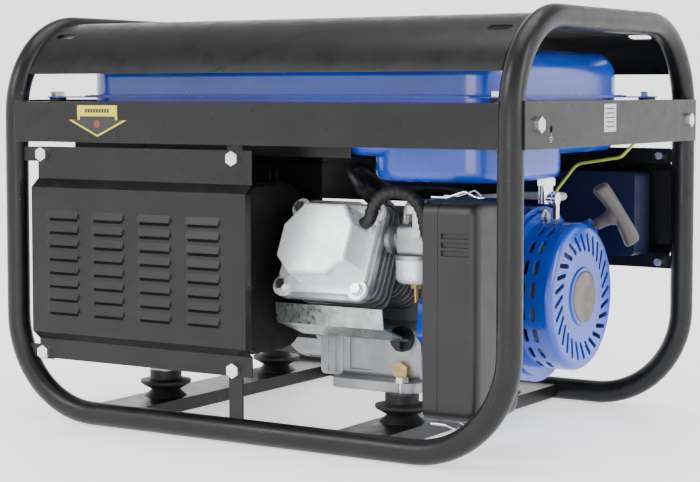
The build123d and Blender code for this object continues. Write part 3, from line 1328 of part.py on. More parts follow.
with BuildPart() as control_panel:
    with BuildSketch(Plane.YZ.offset(PANEL_X[0])):
        with BuildLine():
            Polyline(*hat_profile(1, PANEL_Y, PANEL_FACE_Z, PANEL_FLANGE_Z), close=True)
        make_face()
    extrude(amount=PANEL_X[1] - PANEL_X[0])
    with BuildSketch(Plane.XZ.offset(-PANEL_Y - 8)):
        with Locations(*[(x, SOCKET_Z) for x in SOCKET_X]):
            Circle(24)
        with Locations(BREAKER):
            Circle(BUTTON_R + 3.3)
        with Locations(SWITCH):
            Rectangle(20.4, 28.4)
    extrude(amount=-12, mode=Mode.SUBTRACT)
    with BuildSketch(Plane.XZ.offset(-PANEL_Y + 1)):
        with Locations(*[(x, z) for x in PANEL_TAB_X for z in PANEL_BOLT_Z]):
            Circle(BOLT_R + 0.2)
    extrude(amount=-6, mode=Mode.SUBTRACT)
control_panel.part.label = "control_panel"
export_step(control_panel.part, "parts/control_panel.step")

with BuildPart() as control_box:
    with Locations((156, 183.8, 213)):
        Box(192, 40, 90)
    fillet(control_box.edges().filter_by(Axis.Y), radius=6)
    with Locations((156, 188.8, 213)):
        Box(187, 46, 85, mode=Mode.SUBTRACT)
control_box.part.label = "control_box"
export_step(control_box.part, "parts/control_box.step")

# Sockets: round recessed outlets with two contact holes and a square bezel.
BEZEL = 2.0
with BuildPart() as socket_bodies:
    for x in SOCKET_X:
        with BuildSketch(facing(x, PANEL_FACE_Y + BEZEL, SOCKET_Z, (0, 1, 0))):
            Circle(23.6)
        extrude(amount=-RECESS_DEPTH - 6)
        with BuildSketch(facing(x, PANEL_FACE_Y + GAP, SOCKET_Z, (0, 1, 0))):
            RectangleRounded(52, 52, 5)
        extrude(amount=BEZEL - GAP)
    for x in SOCKET_X:
        with BuildSketch(facing(x, PANEL_FACE_Y + BEZEL, SOCKET_Z, (0, 1, 0))):
            Circle(RECESS_R)
        extrude(amount=-RECESS_DEPTH, mode=Mode.SUBTRACT)
        with BuildSketch(facing(x, PANEL_FACE_Y + BEZEL, SOCKET_Z, (0, 1, 0))):
            with Locations((-9.5, 0), (9.5, 0)):
                Circle(2.5)
        extrude(amount=-RECESS_DEPTH - 4, mode=Mode.SUBTRACT)
socket_bodies.part.label = "socket_bodies"
export_step(socket_bodies.part, "parts/socket_bodies.step")

# Sprung lids over the sockets, hinged along their top edge.
LID_HINGE_Z = SOCKET_Z + 27.0
LID_Y = PANEL_FACE_Y + BEZEL + 0.3
LID_T = 1.3
for x, name in ((SOCKET_X[0], "socket_lid_left"), (SOCKET_X[1], "socket_lid_right")):
    with BuildPart() as lid:
        with BuildSketch(facing(x, LID_Y, SOCKET_Z, (0, 1, 0))):
            RectangleRounded(48, 48, 6)
        extrude(amount=LID_T)
    lid.part.label = name
    export_step(lid.part, f"parts/{name}.step")

with BuildPart() as breaker_button:
    with BuildSketch(facing(BREAKER[0], PANEL_FACE_Y + 3.5, BREAKER[1], (0, 1, 0))):
        Circle(BUTTON_R)
    extrude(amount=-16)
breaker_button.part.label = "breaker_button"
export_step(breaker_button.part, "parts/breaker_button.step")

with BuildPart() as engine_switch:
    with BuildSketch(Plane.YZ.offset(SWITCH[0] - 9.5)):
        with BuildLine():
            Polyline(
                (PANEL_FACE_Y - 8, SWITCH[1] - 9), (PANEL_FACE_Y + 3.4, SWITCH[1] - 12),
                (PANEL_FACE_Y + 1.4, SWITCH[1]), (PANEL_FACE_Y + 3.4, SWITCH[1] + 12),
                (PANEL_FACE_Y - 8, SWITCH[1] + 9), close=True,
            )
        make_face()
    extrude(amount=19)
engine_switch.part.label = "engine_switch"
export_step(engine_switch.part, "parts/engine_switch.step")

# Oil dipstick: a knobbed plug in the crankcase wall with a blade behind it.
OIL = (112.0, -84.0, 98.0)
with BuildPart() as oil_dipstick:
    with BuildSketch(facing(OIL[0], OIL[1] - 0.3, OIL[2], (0, -1, 0))):
        Circle(13)
    extrude(amount=5)
    with BuildSketch(facing(OIL[0], OIL[1] - 5.3, OIL[2], (0, -1, 0))):
        SlotOverall(22, 7)
    extrude(amount=8)
    with BuildSketch(facing(OIL[0], OIL[1] - 0.3, OIL[2], (0, 1, 0))):
        Circle(9)
    extrude(amount=14)
oil_dipstick.part.label = "oil_dipstick"
export_step(oil_dipstick.part, "parts/oil_dipstick.step")

# Earth lead from a screw on the shroud to the end rail.
earth_lead = bent_rod(
    [
        (196, 84, 213.8), (196, 88, 240), (212, 104, 268), (262, 104, 276), (286, 104, 300),
        (290, 104, 314), (END_IN - 0.2, 104, 314),
    ],
    [10, 12, 10, 10, 6],
    1.6,
)
earth_lead.part.label = "earth_lead"
export_step(earth_lead.part, "parts/earth_lead.step")
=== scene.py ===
import json
import math

import bmesh
import bpy
from mathutils import Matrix, Vector


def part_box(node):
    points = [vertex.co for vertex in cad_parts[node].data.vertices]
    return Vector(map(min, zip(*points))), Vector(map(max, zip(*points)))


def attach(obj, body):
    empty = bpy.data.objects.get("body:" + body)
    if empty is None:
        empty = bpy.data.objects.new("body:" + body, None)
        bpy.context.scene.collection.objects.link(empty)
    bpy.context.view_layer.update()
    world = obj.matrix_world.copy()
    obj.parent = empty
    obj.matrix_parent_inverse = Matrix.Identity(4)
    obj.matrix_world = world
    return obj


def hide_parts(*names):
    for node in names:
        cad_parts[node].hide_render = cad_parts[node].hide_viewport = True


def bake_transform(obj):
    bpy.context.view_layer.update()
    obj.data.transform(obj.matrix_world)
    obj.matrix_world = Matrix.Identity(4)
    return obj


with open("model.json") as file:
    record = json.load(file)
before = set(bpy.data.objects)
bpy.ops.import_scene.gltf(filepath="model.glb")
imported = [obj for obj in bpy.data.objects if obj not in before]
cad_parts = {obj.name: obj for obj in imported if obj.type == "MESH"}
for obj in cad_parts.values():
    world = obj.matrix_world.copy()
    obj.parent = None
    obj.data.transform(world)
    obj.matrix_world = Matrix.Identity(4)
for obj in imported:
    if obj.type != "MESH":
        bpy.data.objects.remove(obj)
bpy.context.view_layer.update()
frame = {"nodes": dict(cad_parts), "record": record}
RECORD = frame["record"]
SLOT_OF = {s["node"]: s["material_slot"] for s in RECORD["subparts"]}
BODY_OF = {n: b for b, ns in RECORD["behaviour"]["bodies"].items() for n in ns}
JOINTS = {j["name"]: j for j in RECORD["behaviour"]["joints"]}

# ------------------------------------------------------------------ materials


def ramp(nodes, low, high, start=0.0, end=1.0):
    r = nodes.new("ShaderNodeMapRange")
    r.inputs["From Min"].default_value = start
    r.inputs["From Max"].default_value = end
    r.inputs["To Min"].default_value = low
    r.inputs["To Max"].default_value = high
    return r


def surface(
    name, color, rough=0.4, metal=0.0, coat=0.0, vary=0.25, vary_scale=18.0, grain=900.0, bump=0.12,
    rough_vary=0.10, edge_wear_and_highlight=0.0, edge_wear_and_highlight_color=(0.45, 0.45, 0.46), wear_rough=0.35, edge=0.0009, dust=0.0,
    dust_color=(0.34, 0.31, 0.27), streak=(1.0, 1.0, 1.0), specular=0.5, transmission=0.0, sheen=0.0,
):
    """A procedural finish: tone variation, fine grain, uneven gloss, rounded edges lightened partly as wear and
    partly as painted highlight, settled dust.
    """
    m = bpy.data.materials.new(name)
    m.use_nodes = True
    nodes, links = m.node_tree.nodes, m.node_tree.links
    bsdf = nodes["Principled BSDF"]
    where = nodes.new("ShaderNodeTexCoord")
    stretch = nodes.new("ShaderNodeMapping")
    stretch.inputs["Scale"].default_value = streak
    links.new(where.outputs["Object"], stretch.inputs["Vector"])

    def noise(scale, detail, roughness=0.55):
        n = nodes.new("ShaderNodeTexNoise")
        n.inputs["Scale"].default_value = scale
        n.inputs["Detail"].default_value = detail
        n.inputs["Roughness"].default_value = roughness
        links.new(stretch.outputs["Vector"], n.inputs["Vector"])
        return n.outputs["Fac"]

    def mix(factor, a, b):
        x = nodes.new("ShaderNodeMix")
        x.data_type = "RGBA"
        links.new(factor, x.inputs["Factor"])
        for value, key in ((a, 6), (b, 7)):
            if isinstance(value, tuple):
                x.inputs[key].default_value = (*value, 1.0)
            else:
                links.new(value, x.inputs[key])
        return x.outputs[2]

    broad, fine = noise(vary_scale, 4.0), noise(grain, 3.0, 0.6)
    dark = tuple(c * (1 - vary) for c in color)
    light = tuple(min(1.0, c * (1 + vary * 0.8) + 0.002) for c in color)
    tone_span = ramp(nodes, 0.0, 1.0, 0.32, 0.68)
    links.new(broad, tone_span.inputs["Value"])
    tone = mix(tone_span.outputs["Result"], dark, light)
    gloss = ramp(nodes, max(0.02, rough - rough_vary), min(1.0, rough + rough_vary), 0.3, 0.7)
    links.new(noise(vary_scale * 3.3, 5.0), gloss.inputs["Value"])
    rough_out = gloss.outputs["Result"]

    rounded = nodes.new("ShaderNodeBevel")
    rounded.samples = 4
    rounded.inputs["Radius"].default_value = edge
    # Rounded edges get a lighter colour in patches: partly wear, partly a painted highlight along the edges.
    if edge_wear_and_highlight > 0:
        geometry = nodes.new("ShaderNodeNewGeometry")
        dot = nodes.new("ShaderNodeVectorMath")
        dot.operation = "DOT_PRODUCT"
        links.new(rounded.outputs["Normal"], dot.inputs[0])
        links.new(geometry.outputs["Normal"], dot.inputs[1])
        edges = ramp(nodes, edge_wear_and_highlight, 0.0, 0.80, 0.97)
        links.new(dot.outputs["Value"], edges.inputs["Value"])
        patch = ramp(nodes, 0.0, 1.0, 0.44, 0.62)
        links.new(noise(140.0, 5.0, 0.65), patch.inputs["Value"])
        both = nodes.new("ShaderNodeMath")
        both.operation = "MULTIPLY"
        links.new(edges.outputs["Result"], both.inputs[0])
        links.new(patch.outputs["Result"], both.inputs[1])
        tone = mix(both.outputs["Value"], tone, edge_wear_and_highlight_color)
        worn = nodes.new("ShaderNodeMix")
        links.new(both.outputs["Value"], worn.inputs["Factor"])
        links.new(rough_out, worn.inputs[2])
        worn.inputs[3].default_value = wear_rough
        rough_out = worn.outputs[0]
    if dust > 0:
        geometry = nodes.new("ShaderNodeNewGeometry")
        split = nodes.new("ShaderNodeSeparateXYZ")
        links.new(geometry.outputs["Normal"], split.inputs["Vector"])
        upward = ramp(nodes, 0.0, dust, 0.35, 1.0)
        links.new(split.outputs["Z"], upward.inputs["Value"])
        spots = ramp(nodes, 0.2, 1.0, 0.35, 0.75)
        links.new(noise(60.0, 6.0, 0.7), spots.inputs["Value"])
        settle = nodes.new("ShaderNodeMath")
        settle.operation = "MULTIPLY"
        links.new(upward.outputs["Result"], settle.inputs[0])
        links.new(spots.outputs["Result"], settle.inputs[1])
        tone = mix(settle.outputs["Value"], tone, dust_color)
    links.new(tone, bsdf.inputs["Base Color"])
    links.new(rough_out, bsdf.inputs["Roughness"])
    relief = nodes.new("ShaderNodeBump")
    relief.inputs["Strength"].default_value = bump
    relief.inputs["Distance"].default_value = 0.0006
    links.new(fine, relief.inputs["Height"])
    links.new(rounded.outputs["Normal"], relief.inputs["Normal"])
    links.new(relief.outputs["Normal"], bsdf.inputs["Normal"])
    bsdf.inputs["Metallic"].default_value = metal
    bsdf.inputs["Specular IOR Level"].default_value = specular
    bsdf.inputs["Coat Weight"].default_value = coat
    bsdf.inputs["Coat Roughness"].default_value = 0.08
    bsdf.inputs["Sheen Weight"].default_value = sheen
    bsdf.inputs["Transmission Weight"].default_value = transmission
    return m


MATERIALS = {
    "black_paint": surface(
        "black_paint", (0.0045, 0.0047, 0.0052), rough=0.33, vary=0.25, grain=1400, bump=0.10,
        rough_vary=0.07, edge_wear_and_highlight=0.45, edge_wear_and_highlight_color=(0.055, 0.055, 0.058), edge=0.0012, specular=0.30,
    ),
    "blue_paint": surface(
        "blue_paint", (0.004, 0.050, 0.42), rough=0.24, coat=0.30, vary=0.14, vary_scale=9, grain=700,
        bump=0.05, rough_vary=0.06, edge_wear_and_highlight=0.30, edge_wear_and_highlight_color=(0.05, 0.16, 0.60), edge=0.0011,
    ),
    "zinc_steel": surface(
        "zinc_steel", (0.66, 0.67, 0.66), rough=0.30, metal=1.0, vary=0.16, vary_scale=90, grain=1600,
        bump=0.10, edge_wear_and_highlight=0.5, edge_wear_and_highlight_color=(0.85, 0.85, 0.84), edge=0.0005,
    ),
    "galvanised": surface(
        "galvanised", (0.34, 0.40, 0.38), rough=0.34, metal=0.9, vary=0.30, vary_scale=75, grain=800,
        bump=0.08, rough_vary=0.16, edge=0.0003,
    ),
    "rubber_black": surface(
        "rubber_black", (0.007, 0.007, 0.0075), rough=0.50, vary=0.25, grain=1500, bump=0.18,
        rough_vary=0.12, edge_wear_and_highlight=0.3, edge_wear_and_highlight_color=(0.03, 0.03, 0.03), wear_rough=0.7, dust=0.04, specular=0.35,
    ),
    "pale_hose": surface(
        "pale_hose", (0.60, 0.58, 0.50), rough=0.30, vary=0.12, grain=600, bump=0.05, transmission=0.25,
    ),
    "black_plastic": surface(
        "black_plastic", (0.0075, 0.0075, 0.0085), rough=0.40, vary=0.18, grain=2200, bump=0.22,
        rough_vary=0.06, edge_wear_and_highlight=0.35, edge_wear_and_highlight_color=(0.045, 0.045, 0.05), wear_rough=0.5, edge=0.0012, specular=0.38,
    ),
    "grey_lid": surface("grey_lid", (0.16, 0.165, 0.18), rough=0.42, grain=1800, bump=0.18, edge_wear_and_highlight=0.3),
    "red_plastic": surface("red_plastic", (0.50, 0.02, 0.015), rough=0.28, vary=0.12, bump=0.05, coat=0.3),
    "chrome_metal": surface(
        "chrome_metal", (0.78, 0.79, 0.80), rough=0.14, metal=1.0, vary=0.10, vary_scale=120, grain=900,
        bump=0.04, rough_vary=0.06, edge=0.0005,
    ),
    "cast_aluminium": surface(
        "cast_aluminium", (0.40, 0.41, 0.43), rough=0.50, metal=0.85, vary=0.22, vary_scale=26, grain=1100,
        bump=0.45, rough_vary=0.12, edge_wear_and_highlight=0.7, edge_wear_and_highlight_color=(0.66, 0.67, 0.68), edge=0.0010, dust=0.06,
    ),
    "silver_cover": surface(
        "silver_cover", (0.84, 0.87, 0.89), rough=0.30, metal=0.30, vary=0.07, vary_scale=24, grain=1300,
        bump=0.16, rough_vary=0.08, edge_wear_and_highlight=0.6, edge_wear_and_highlight_color=(0.93, 0.94, 0.95), edge=0.0014,
    ),
    "brass": surface(
        "brass", (0.72, 0.50, 0.22), rough=0.28, metal=1.0, vary=0.20, vary_scale=120, bump=0.08, edge_wear_and_highlight=0.5,
        edge_wear_and_highlight_color=(0.90, 0.72, 0.42), edge=0.0004,
    ),
    "steel": surface(
        "steel", (0.45, 0.45, 0.46), rough=0.33, metal=1.0, vary=0.18, vary_scale=60, grain=900, bump=0.12,
        streak=(1.0, 3.0, 3.0), edge_wear_and_highlight=0.4, edge_wear_and_highlight_color=(0.7, 0.7, 0.7), edge=0.0005,
    ),
    "iron": surface(
        "iron", (0.030, 0.030, 0.033), rough=0.52, metal=0.5, vary=0.30, vary_scale=30, grain=700, bump=0.45,
        rough_vary=0.14, edge_wear_and_highlight=0.6, edge_wear_and_highlight_color=(0.30, 0.30, 0.31), dust=0.06,
    ),
    "muffler_steel": surface(
        "muffler_steel", (0.012, 0.0115, 0.011), rough=0.55, specular=0.3, metal=0.35, vary=0.40,
        vary_scale=14, grain=500, bump=0.30, rough_vary=0.15, edge_wear_and_highlight=0.5, edge_wear_and_highlight_color=(0.10, 0.075, 0.055),
    ),
    "handle_plastic": surface(
        "handle_plastic", (0.060, 0.052, 0.047), rough=0.50, vary=0.18, grain=1500, bump=0.25, edge_wear_and_highlight=0.5,
        edge_wear_and_highlight_color=(0.24, 0.22, 0.20), wear_rough=0.6,
    ),
    "cord_black": surface("cord_black", (0.03, 0.03, 0.032), rough=0.8, grain=1900, bump=0.6, sheen=0.3),
    "pulley_plastic": surface("pulley_plastic", (0.62, 0.58, 0.50), rough=0.45, vary=0.15, bump=0.1),
    "earth_wire": surface("earth_wire", (0.42, 0.50, 0.04), rough=0.36, vary=0.20, bump=0.05),
    "foam": surface("foam", (0.07, 0.07, 0.072), rough=0.95, vary=0.3, grain=420, bump=1.0),
}
MATERIALS["shroud_paint"] = MATERIALS["blue_paint"]
NAVY = surface("navy_box", (0.003, 0.006, 0.035), rough=0.42, vary=0.2, grain=1500, bump=0.12, specular=0.3)
OLD_BRASS = surface(
    "old_brass", (0.42, 0.29, 0.13), rough=0.32, metal=0.9, vary=0.25, vary_scale=140, bump=0.1, edge=0.0004,
)
LABEL_YELLOW = surface("label_yellow", (0.62, 0.50, 0.02), rough=0.42, vary=0.08, bump=0.04)
LABEL_BLACK = surface("label_black", (0.012, 0.012, 0.012), rough=0.40, vary=0.10, bump=0.04)
LABEL_RED = surface("label_red", (0.20, 0.025, 0.012), rough=0.42, vary=0.15, bump=0.04)
LABEL_GREY = surface("label_grey", (0.42, 0.43, 0.45), rough=0.45, vary=0.08, bump=0.05)
SEAT_METAL = surface(
    "turned_disc", (0.115, 0.100, 0.095), rough=0.30, metal=0.55, vary=0.18, vary_scale=20, bump=0.10,
)
DIAL_WHITE = surface("dial_white", (0.78, 0.78, 0.74), rough=0.4, vary=0.05, bump=0.03)
# Painted shadow: a near-black finish for the plates set in the louvre slots.
PAINTED_SLOT_SHADOW = surface("slot_shadow", (0.004, 0.004, 0.004), rough=0.9, vary=0.2, bump=0.05, specular=0.1)
WELD = surface(
    "weld_bead", (0.016, 0.016, 0.018), rough=0.42, vary=0.3, vary_scale=240, grain=380, bump=0.9,
    rough_vary=0.12, edge=0.0004,
)


def lined(source, name, axis, pitch, depth):
    """A copy of a finish with fine parallel grooves across it, such as laminations or a fin's marks."""
    m = source.copy()
    m.name = name
    nodes, links = m.node_tree.nodes, m.node_tree.links
    bump = next(n for n in nodes if n.type == "BUMP")
    wave = nodes.new("ShaderNodeTexWave")
    wave.bands_direction = axis
    wave.inputs["Scale"].default_value = 2 * math.pi / (20 * pitch)
    wave.inputs["Distortion"].default_value = 0.3
    where = next(n for n in nodes if n.type == "TEX_COORD")
    links.new(where.outputs["Object"], wave.inputs["Vector"])
    second = nodes.new("ShaderNodeBump")
    second.inputs["Strength"].default_value = 0.8
    second.inputs["Distance"].default_value = depth
    links.new(wave.outputs["Fac"], second.inputs["Height"])
    links.new(bump.outputs["Normal"], second.inputs["Normal"])
    links.new(second.outputs["Normal"], nodes["Principled BSDF"].inputs["Normal"])
    return m


OWN_FINISH = {
    "control_box": NAVY,
    "drain_screws": OLD_BRASS,
    "alternator_stator": lined(MATERIALS["iron"], "laminations", "X", 0.0016, 0.0006),
    "recoil_rope": lined(MATERIALS["cord_black"], "braid", "DIAGONAL", 0.0022, 0.0005),
}
for node, obj in frame["nodes"].items():
    obj.data.materials.clear()
    obj.data.materials.append(OWN_FINISH.get(node, MATERIALS[SLOT_OF[node]]))

# ------------------------------------------------------------------ piece helpers


def new_piece(name, bm, material, node, smooth=True):
    """Makes a mesh object of bm, which rides with the body of a CAD node."""
    mesh = bpy.data.meshes.new(name)
    bmesh.ops.recalc_face_normals(bm, faces=bm.faces)
    bm.to_mesh(mesh)
    bm.free()
    if smooth:
        mesh.shade_smooth()
    obj = bpy.data.objects.new(name, mesh)
    bpy.context.scene.collection.objects.link(obj)
    mesh.materials.append(material)
    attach(obj, BODY_OF[node])
    return obj


def sharpen(obj, width=0.0006, segments=2, angle=35):
    bevel = obj.modifiers.new("edges", "BEVEL")
    bevel.width, bevel.segments = width, segments
    bevel.limit_method, bevel.angle_limit = "ANGLE", math.radians(angle)
    bevel.harden_normals = False
    return obj


def basis(origin, out, up):
    """A matrix whose Z points out of a surface and whose Y is up along it."""
    z = Vector(out).normalized()
    x = Vector(up).cross(z).normalized()
    y = z.cross(x)
    m = Matrix((x, y, z)).transposed().to_4x4()
    m.translation = Vector(origin)
    return m


def plate(bm, outline, height, at, base=0.0):
    """Adds a prism: an outline in the plane of matrix at, raised to height."""
    rings = [[bm.verts.new(at @ Vector((x, y, z))) for x, y in outline] for z in (base, height)]
    count = len(outline)
    for i in range(count):
        j = (i + 1) % count
        bm.faces.new((rings[0][i], rings[0][j], rings[1][j], rings[1][i]))
    bm.faces.new(rings[1])
    bm.faces.new(rings[0][::-1])


def lathe(bm, profile, at, steps=40):
    """Adds a turned form: (radius, height) points about the Z of matrix at."""
    rings = []
    for r, z in profile:
        if r < 1e-7:
            rings.append([bm.verts.new(at @ Vector((0, 0, z)))])
            continue
        turn = [2 * math.pi * i / steps for i in range(steps)]
        rings.append([bm.verts.new(at @ Vector((r * math.cos(a), r * math.sin(a), z))) for a in turn])
    for a, b in zip(rings, rings[1:]):
        for i in range(steps):
            j = (i + 1) % steps
            corners = [a[i % len(a)], a[j % len(a)], b[j % len(b)], b[i % len(b)]]
            unique = list(dict.fromkeys(corners))
            if len(unique) > 2:
                bm.faces.new(unique)


def tube(bm, points, radius, steps=14, closed=False):
    """Adds a swept round form along points; radius may be one number or one per point."""
    count = len(points)
    radii = radius if isinstance(radius, (list, tuple)) else [radius] * count
    rings, side = [], None
    for i, p in enumerate(points):
        before = points[i - 1] if i or closed else p
        after = points[(i + 1) % count] if closed or i < count - 1 else p
        along = (Vector(after) - Vector(before)).normalized()
        if side is None:
            side = along.orthogonal().normalized()
        side = (side - along * side.dot(along)).normalized()
        other = along.cross(side)
        turn = [2 * math.pi * k / steps for k in range(steps)]
        rings.append([
            bm.verts.new(Vector(p) + (side * math.cos(a) + other * math.sin(a)) * radii[i]) for a in turn
        ])
    pairs = list(zip(rings, rings[1:])) + ([(rings[-1], rings[0])] if closed else [])
    for a, b in pairs:
        for k in range(steps):
            j = (k + 1) % steps
            bm.faces.new((a[k], a[j], b[j], b[k]))
    if not closed:
        bm.faces.new(rings[0][::-1])
        bm.faces.new(rings[-1])


def rounded_rect(width, height, radius, steps=5):
    pts = []
    for cx, cy, start in ((1, 1, 0), (-1, 1, 90), (-1, -1, 180), (1, -1, 270)):
        for i in range(steps + 1):
            a = math.radians(start + 90 * i / steps)
            pts.append((
                cx * (width / 2 - radius) + radius * math.cos(a),
                cy * (height / 2 - radius) + radius * math.sin(a),
            ))
    return pts


# ------------------------------------------------------------------ labels
rail_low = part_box("side_rails")[0]
FILM = 0.00035


def arrow(width, height, head, neck):
    """A downward block arrow, like a route sign."""
    w, h, n = width / 2, height / 2, neck / 2
    return [(-n, h), (n, h), (n, h - (height - head)), (w, h - (height - head)), (0, -h),
            (-w, h - (height - head)), (-n, h - (height - head))]


label_at = basis((-0.173, rail_low.y, 0.3140), (0, -1, 0), (0, 0, 1))
for name, size, height, lift, shift, finish in (
    ("direction_label_outline", (0.076, 0.032, 0.0170, 0.052), FILM, 0.0, 0.0, LABEL_YELLOW),
    ("direction_label_arrow", (0.066, 0.0275, 0.0150, 0.046), FILM * 1.6, 0.0, -0.0004, LABEL_BLACK),
):
    bm = bmesh.new()
    plate(bm, arrow(*size), height, label_at @ Matrix.Translation((0, shift, lift)))
    new_piece(name, bm, finish, "side_rails", smooth=False)
bm = bmesh.new()
plate(bm, rounded_rect(0.052, 0.0112, 0.0008), FILM * 2.2, label_at @ Matrix.Translation((0, 0.0104, 0)))
new_piece("direction_label_header", bm, LABEL_YELLOW, "side_rails", smooth=False)
bm = bmesh.new()
for k in range(9):
    plate(bm, rounded_rect(0.0026, 0.0040, 0.0004), FILM * 2.8,
          label_at @ Matrix.Translation((-0.0144 + 0.0036 * k, 0.0104, 0)))
new_piece("direction_label_blocks", bm, LABEL_BLACK, "side_rails", smooth=False)
bm = bmesh.new()
lathe(bm, [(0, FILM * 2.4), (0.0040, FILM * 2.4), (0.0042, 0)], label_at @ Matrix.Translation((0, -0.0030, 0)), 28)
new_piece("direction_label_dot", bm, LABEL_RED, "side_rails", smooth=False)

end_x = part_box("end_rails")[1].x
end_label = basis((end_x, -0.021, 0.3185), (1, 0, 0), (0, 0, 1))
bm = bmesh.new()
plate(bm, rounded_rect(0.028, 0.027, 0.0015), FILM, end_label)
new_piece("plain_label", bm, LABEL_GREY, "end_rails", smooth=False)
bm = bmesh.new()
for k in range(5):
    plate(bm, rounded_rect(0.021 - 0.003 * (k % 2), 0.0011, 0.0003), FILM * 1.5,
          end_label @ Matrix.Translation((0, 0.009 - 0.0043 * k, 0)))
new_piece("plain_label_lines", bm, LABEL_BLACK, "end_rails", smooth=False)
earth_at = basis((end_x, -0.150, 0.310), (1, 0, 0), (0, 0, 1))
bm = bmesh.new()
for k, w in enumerate((0.0085, 0.0058, 0.0030)):
    plate(bm, rounded_rect(w, 0.0009, 0.0003), FILM, earth_at @ Matrix.Translation((0, -0.0078 - 0.002 * k, 0)))
plate(bm, rounded_rect(0.0009, 0.0035, 0.0003), FILM, earth_at @ Matrix.Translation((0, -0.0062, 0)))
new_piece("earth_symbol", bm, LABEL_GREY, "end_rails", smooth=False)

# ------------------------------------------------------------------ weld beads on the frame
bm = bmesh.new()
tube_radius = 0.012
post_x, post_y = 0.291, 0.202
for sx in (-1, 1):
    for sy in (-1, 1):
        for z in (rail_low.z + 0.0005, 0.3335):
            pts = []
            for i in range(9):
                a = math.radians(-55 + 110 * i / 8)
                pts.append(Vector((
                    sx * (post_x - (tube_radius + 0.0004) * math.cos(a)),
                    sy * (post_y + (tube_radius + 0.0004) * math.sin(a)),
                    z + 0.0004 * math.sin(i * 2.4),
                )))
            tube(bm, pts, [0.0013 + 0.0004 * (i % 2) for i in range(9)], 8)
new_piece("frame_weld_beads", bm, WELD, "frame_tube_front")

# ------------------------------------------------------------------ recoil starter details
recoil_low, recoil_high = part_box("recoil_housing")
hub = Vector((recoil_high.x, 0.035, 0.137))
face = basis(hub, (1, 0, 0), (0, 0, 1))
bm = bmesh.new()
lathe(bm, [(0, 0.0004), (0.008, 0.0005), (0.0195, 0.0009), (0.0240, 0.0010), (0.0262, 0.0006),
           (0.0268, -0.0022)], face, 64)
new_piece("recoil_hub_disc", bm, SEAT_METAL, "recoil_housing")
bm = bmesh.new()
ring = [hub + Vector((-0.0014, 0.0290 * math.cos(a), 0.0290 * math.sin(a)))
        for a in (2 * math.pi * i / 72 for i in range(72))]
tube(bm, ring, 0.0011, 8, closed=True)
new_piece("recoil_hub_ring", bm, MATERIALS["blue_paint"], "recoil_housing")
bm = bmesh.new()
for k in range(3):
    a = math.radians(90 + 120 * k)
    spot = basis((recoil_low.x + 0.0041, 0.035 + 0.0795 * math.cos(a), 0.137 + 0.0795 * math.sin(a)),
                 (1, 0, 0), (0, 0, 1))
    plate(bm, [(0.0052 * math.cos(math.radians(60 * i)), 0.0052 * math.sin(math.radians(60 * i)))
               for i in range(6)], 0.0042, spot)
    lathe(bm, [(0.0075, 0), (0.0075, 0.0010), (0, 0.0010)], spot, 28)
screws = new_piece("recoil_screws", bm, MATERIALS["zinc_steel"], "recoil_housing", smooth=False)
sharpen(screws, 0.0003)

# ------------------------------------------------------------------ pull handle and rope
PULL = Vector(JOINTS["handle_pull"]["axis"]).normalized()
BAR = Vector((0.407, 0.338, -0.852)).normalized()
WIDE = PULL.cross(BAR).normalized()
ROPE_EXIT = Vector((0.246, 0.072, 0.206))
HANDLE_AT = ROPE_EXIT + PULL * 0.030


def bar_section(t):
    """Oval section of the grip at t along the bar, in the plane of PULL and WIDE."""
    squeeze = 1 - 0.10 * math.cos(t * math.pi)
    end = max(0.0, (abs(t) - 0.86) / 0.14)
    taper = math.sqrt(max(0.0, 1 - end * end)) if end else 1.0
    pts = []
    for k in range(24):
        a = 2 * math.pi * k / 24
        groove = 1 - 0.05 * max(0.0, math.cos(5 * a)) if abs(t) < 0.9 else 1.0
        pts.append((
            0.0078 * squeeze * taper * groove * math.cos(a),
            0.0098 * squeeze * taper * groove * math.sin(a),
        ))
    return pts


bm = bmesh.new()
rings = []
for i in range(33):
    t = -1 + 2 * i / 32
    centre = HANDLE_AT + BAR * (0.0362 * t) - PULL * (0.0030 * t * t)
    rings.append([bm.verts.new(centre + PULL * x + WIDE * y) for x, y in bar_section(t)])
for a, b in zip(rings, rings[1:]):
    for k in range(24):
        j = (k + 1) % 24
        bm.faces.new((a[k], a[j], b[j], b[k]))
stem = [(0.0048, -0.0262), (0.0060, -0.0255), (0.0062, -0.0200), (0.0070, -0.0125), (0.0098, -0.0070),
        (0.0085, -0.0010)]
lathe(bm, stem, basis(HANDLE_AT, PULL, BAR), 28)
bmesh.ops.remove_doubles(bm, verts=bm.verts, dist=1e-6)
grip = new_piece("starter_grip", bm, MATERIALS["handle_plastic"], "recoil_handle")
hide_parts("recoil_handle")

bm = bmesh.new()
rope_from, rope_to = ROPE_EXIT - PULL * 0.020, HANDLE_AT - PULL * 0.010
tube(bm, [rope_from.lerp(rope_to, i / 120) for i in range(121)], 0.0017, 10)
rope_mesh = bpy.data.meshes.new("pull_rope")
bm.to_mesh(rope_mesh)
bm.free()
rope_mesh.shade_smooth()
rope = bpy.data.objects.new("pull_rope", rope_mesh)
bpy.context.scene.collection.objects.link(rope)
rope_mesh.materials.append(OWN_FINISH["recoil_rope"])
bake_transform(rope)
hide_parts("recoil_rope")

# ------------------------------------------------------------------ hose clamps and breather hose


def clamp(name, at, out, radius, node):
    bm = bmesh.new()
    m = basis(at, out, Vector(out).orthogonal())
    lathe(bm, [(radius - 0.0002, -0.003), (radius + 0.0008, -0.003), (radius + 0.0008, 0.003),
               (radius - 0.0002, 0.003)], m, 32)
    for side in (-1, 1):
        plate(bm, rounded_rect(0.0022, 0.0055, 0.0007), 0.006,
              m @ Matrix.Translation((radius + 0.0014, side * 0.0016, -0.003)))
    sharpen(new_piece(name, bm, MATERIALS["zinc_steel"], node, smooth=False), 0.0002)


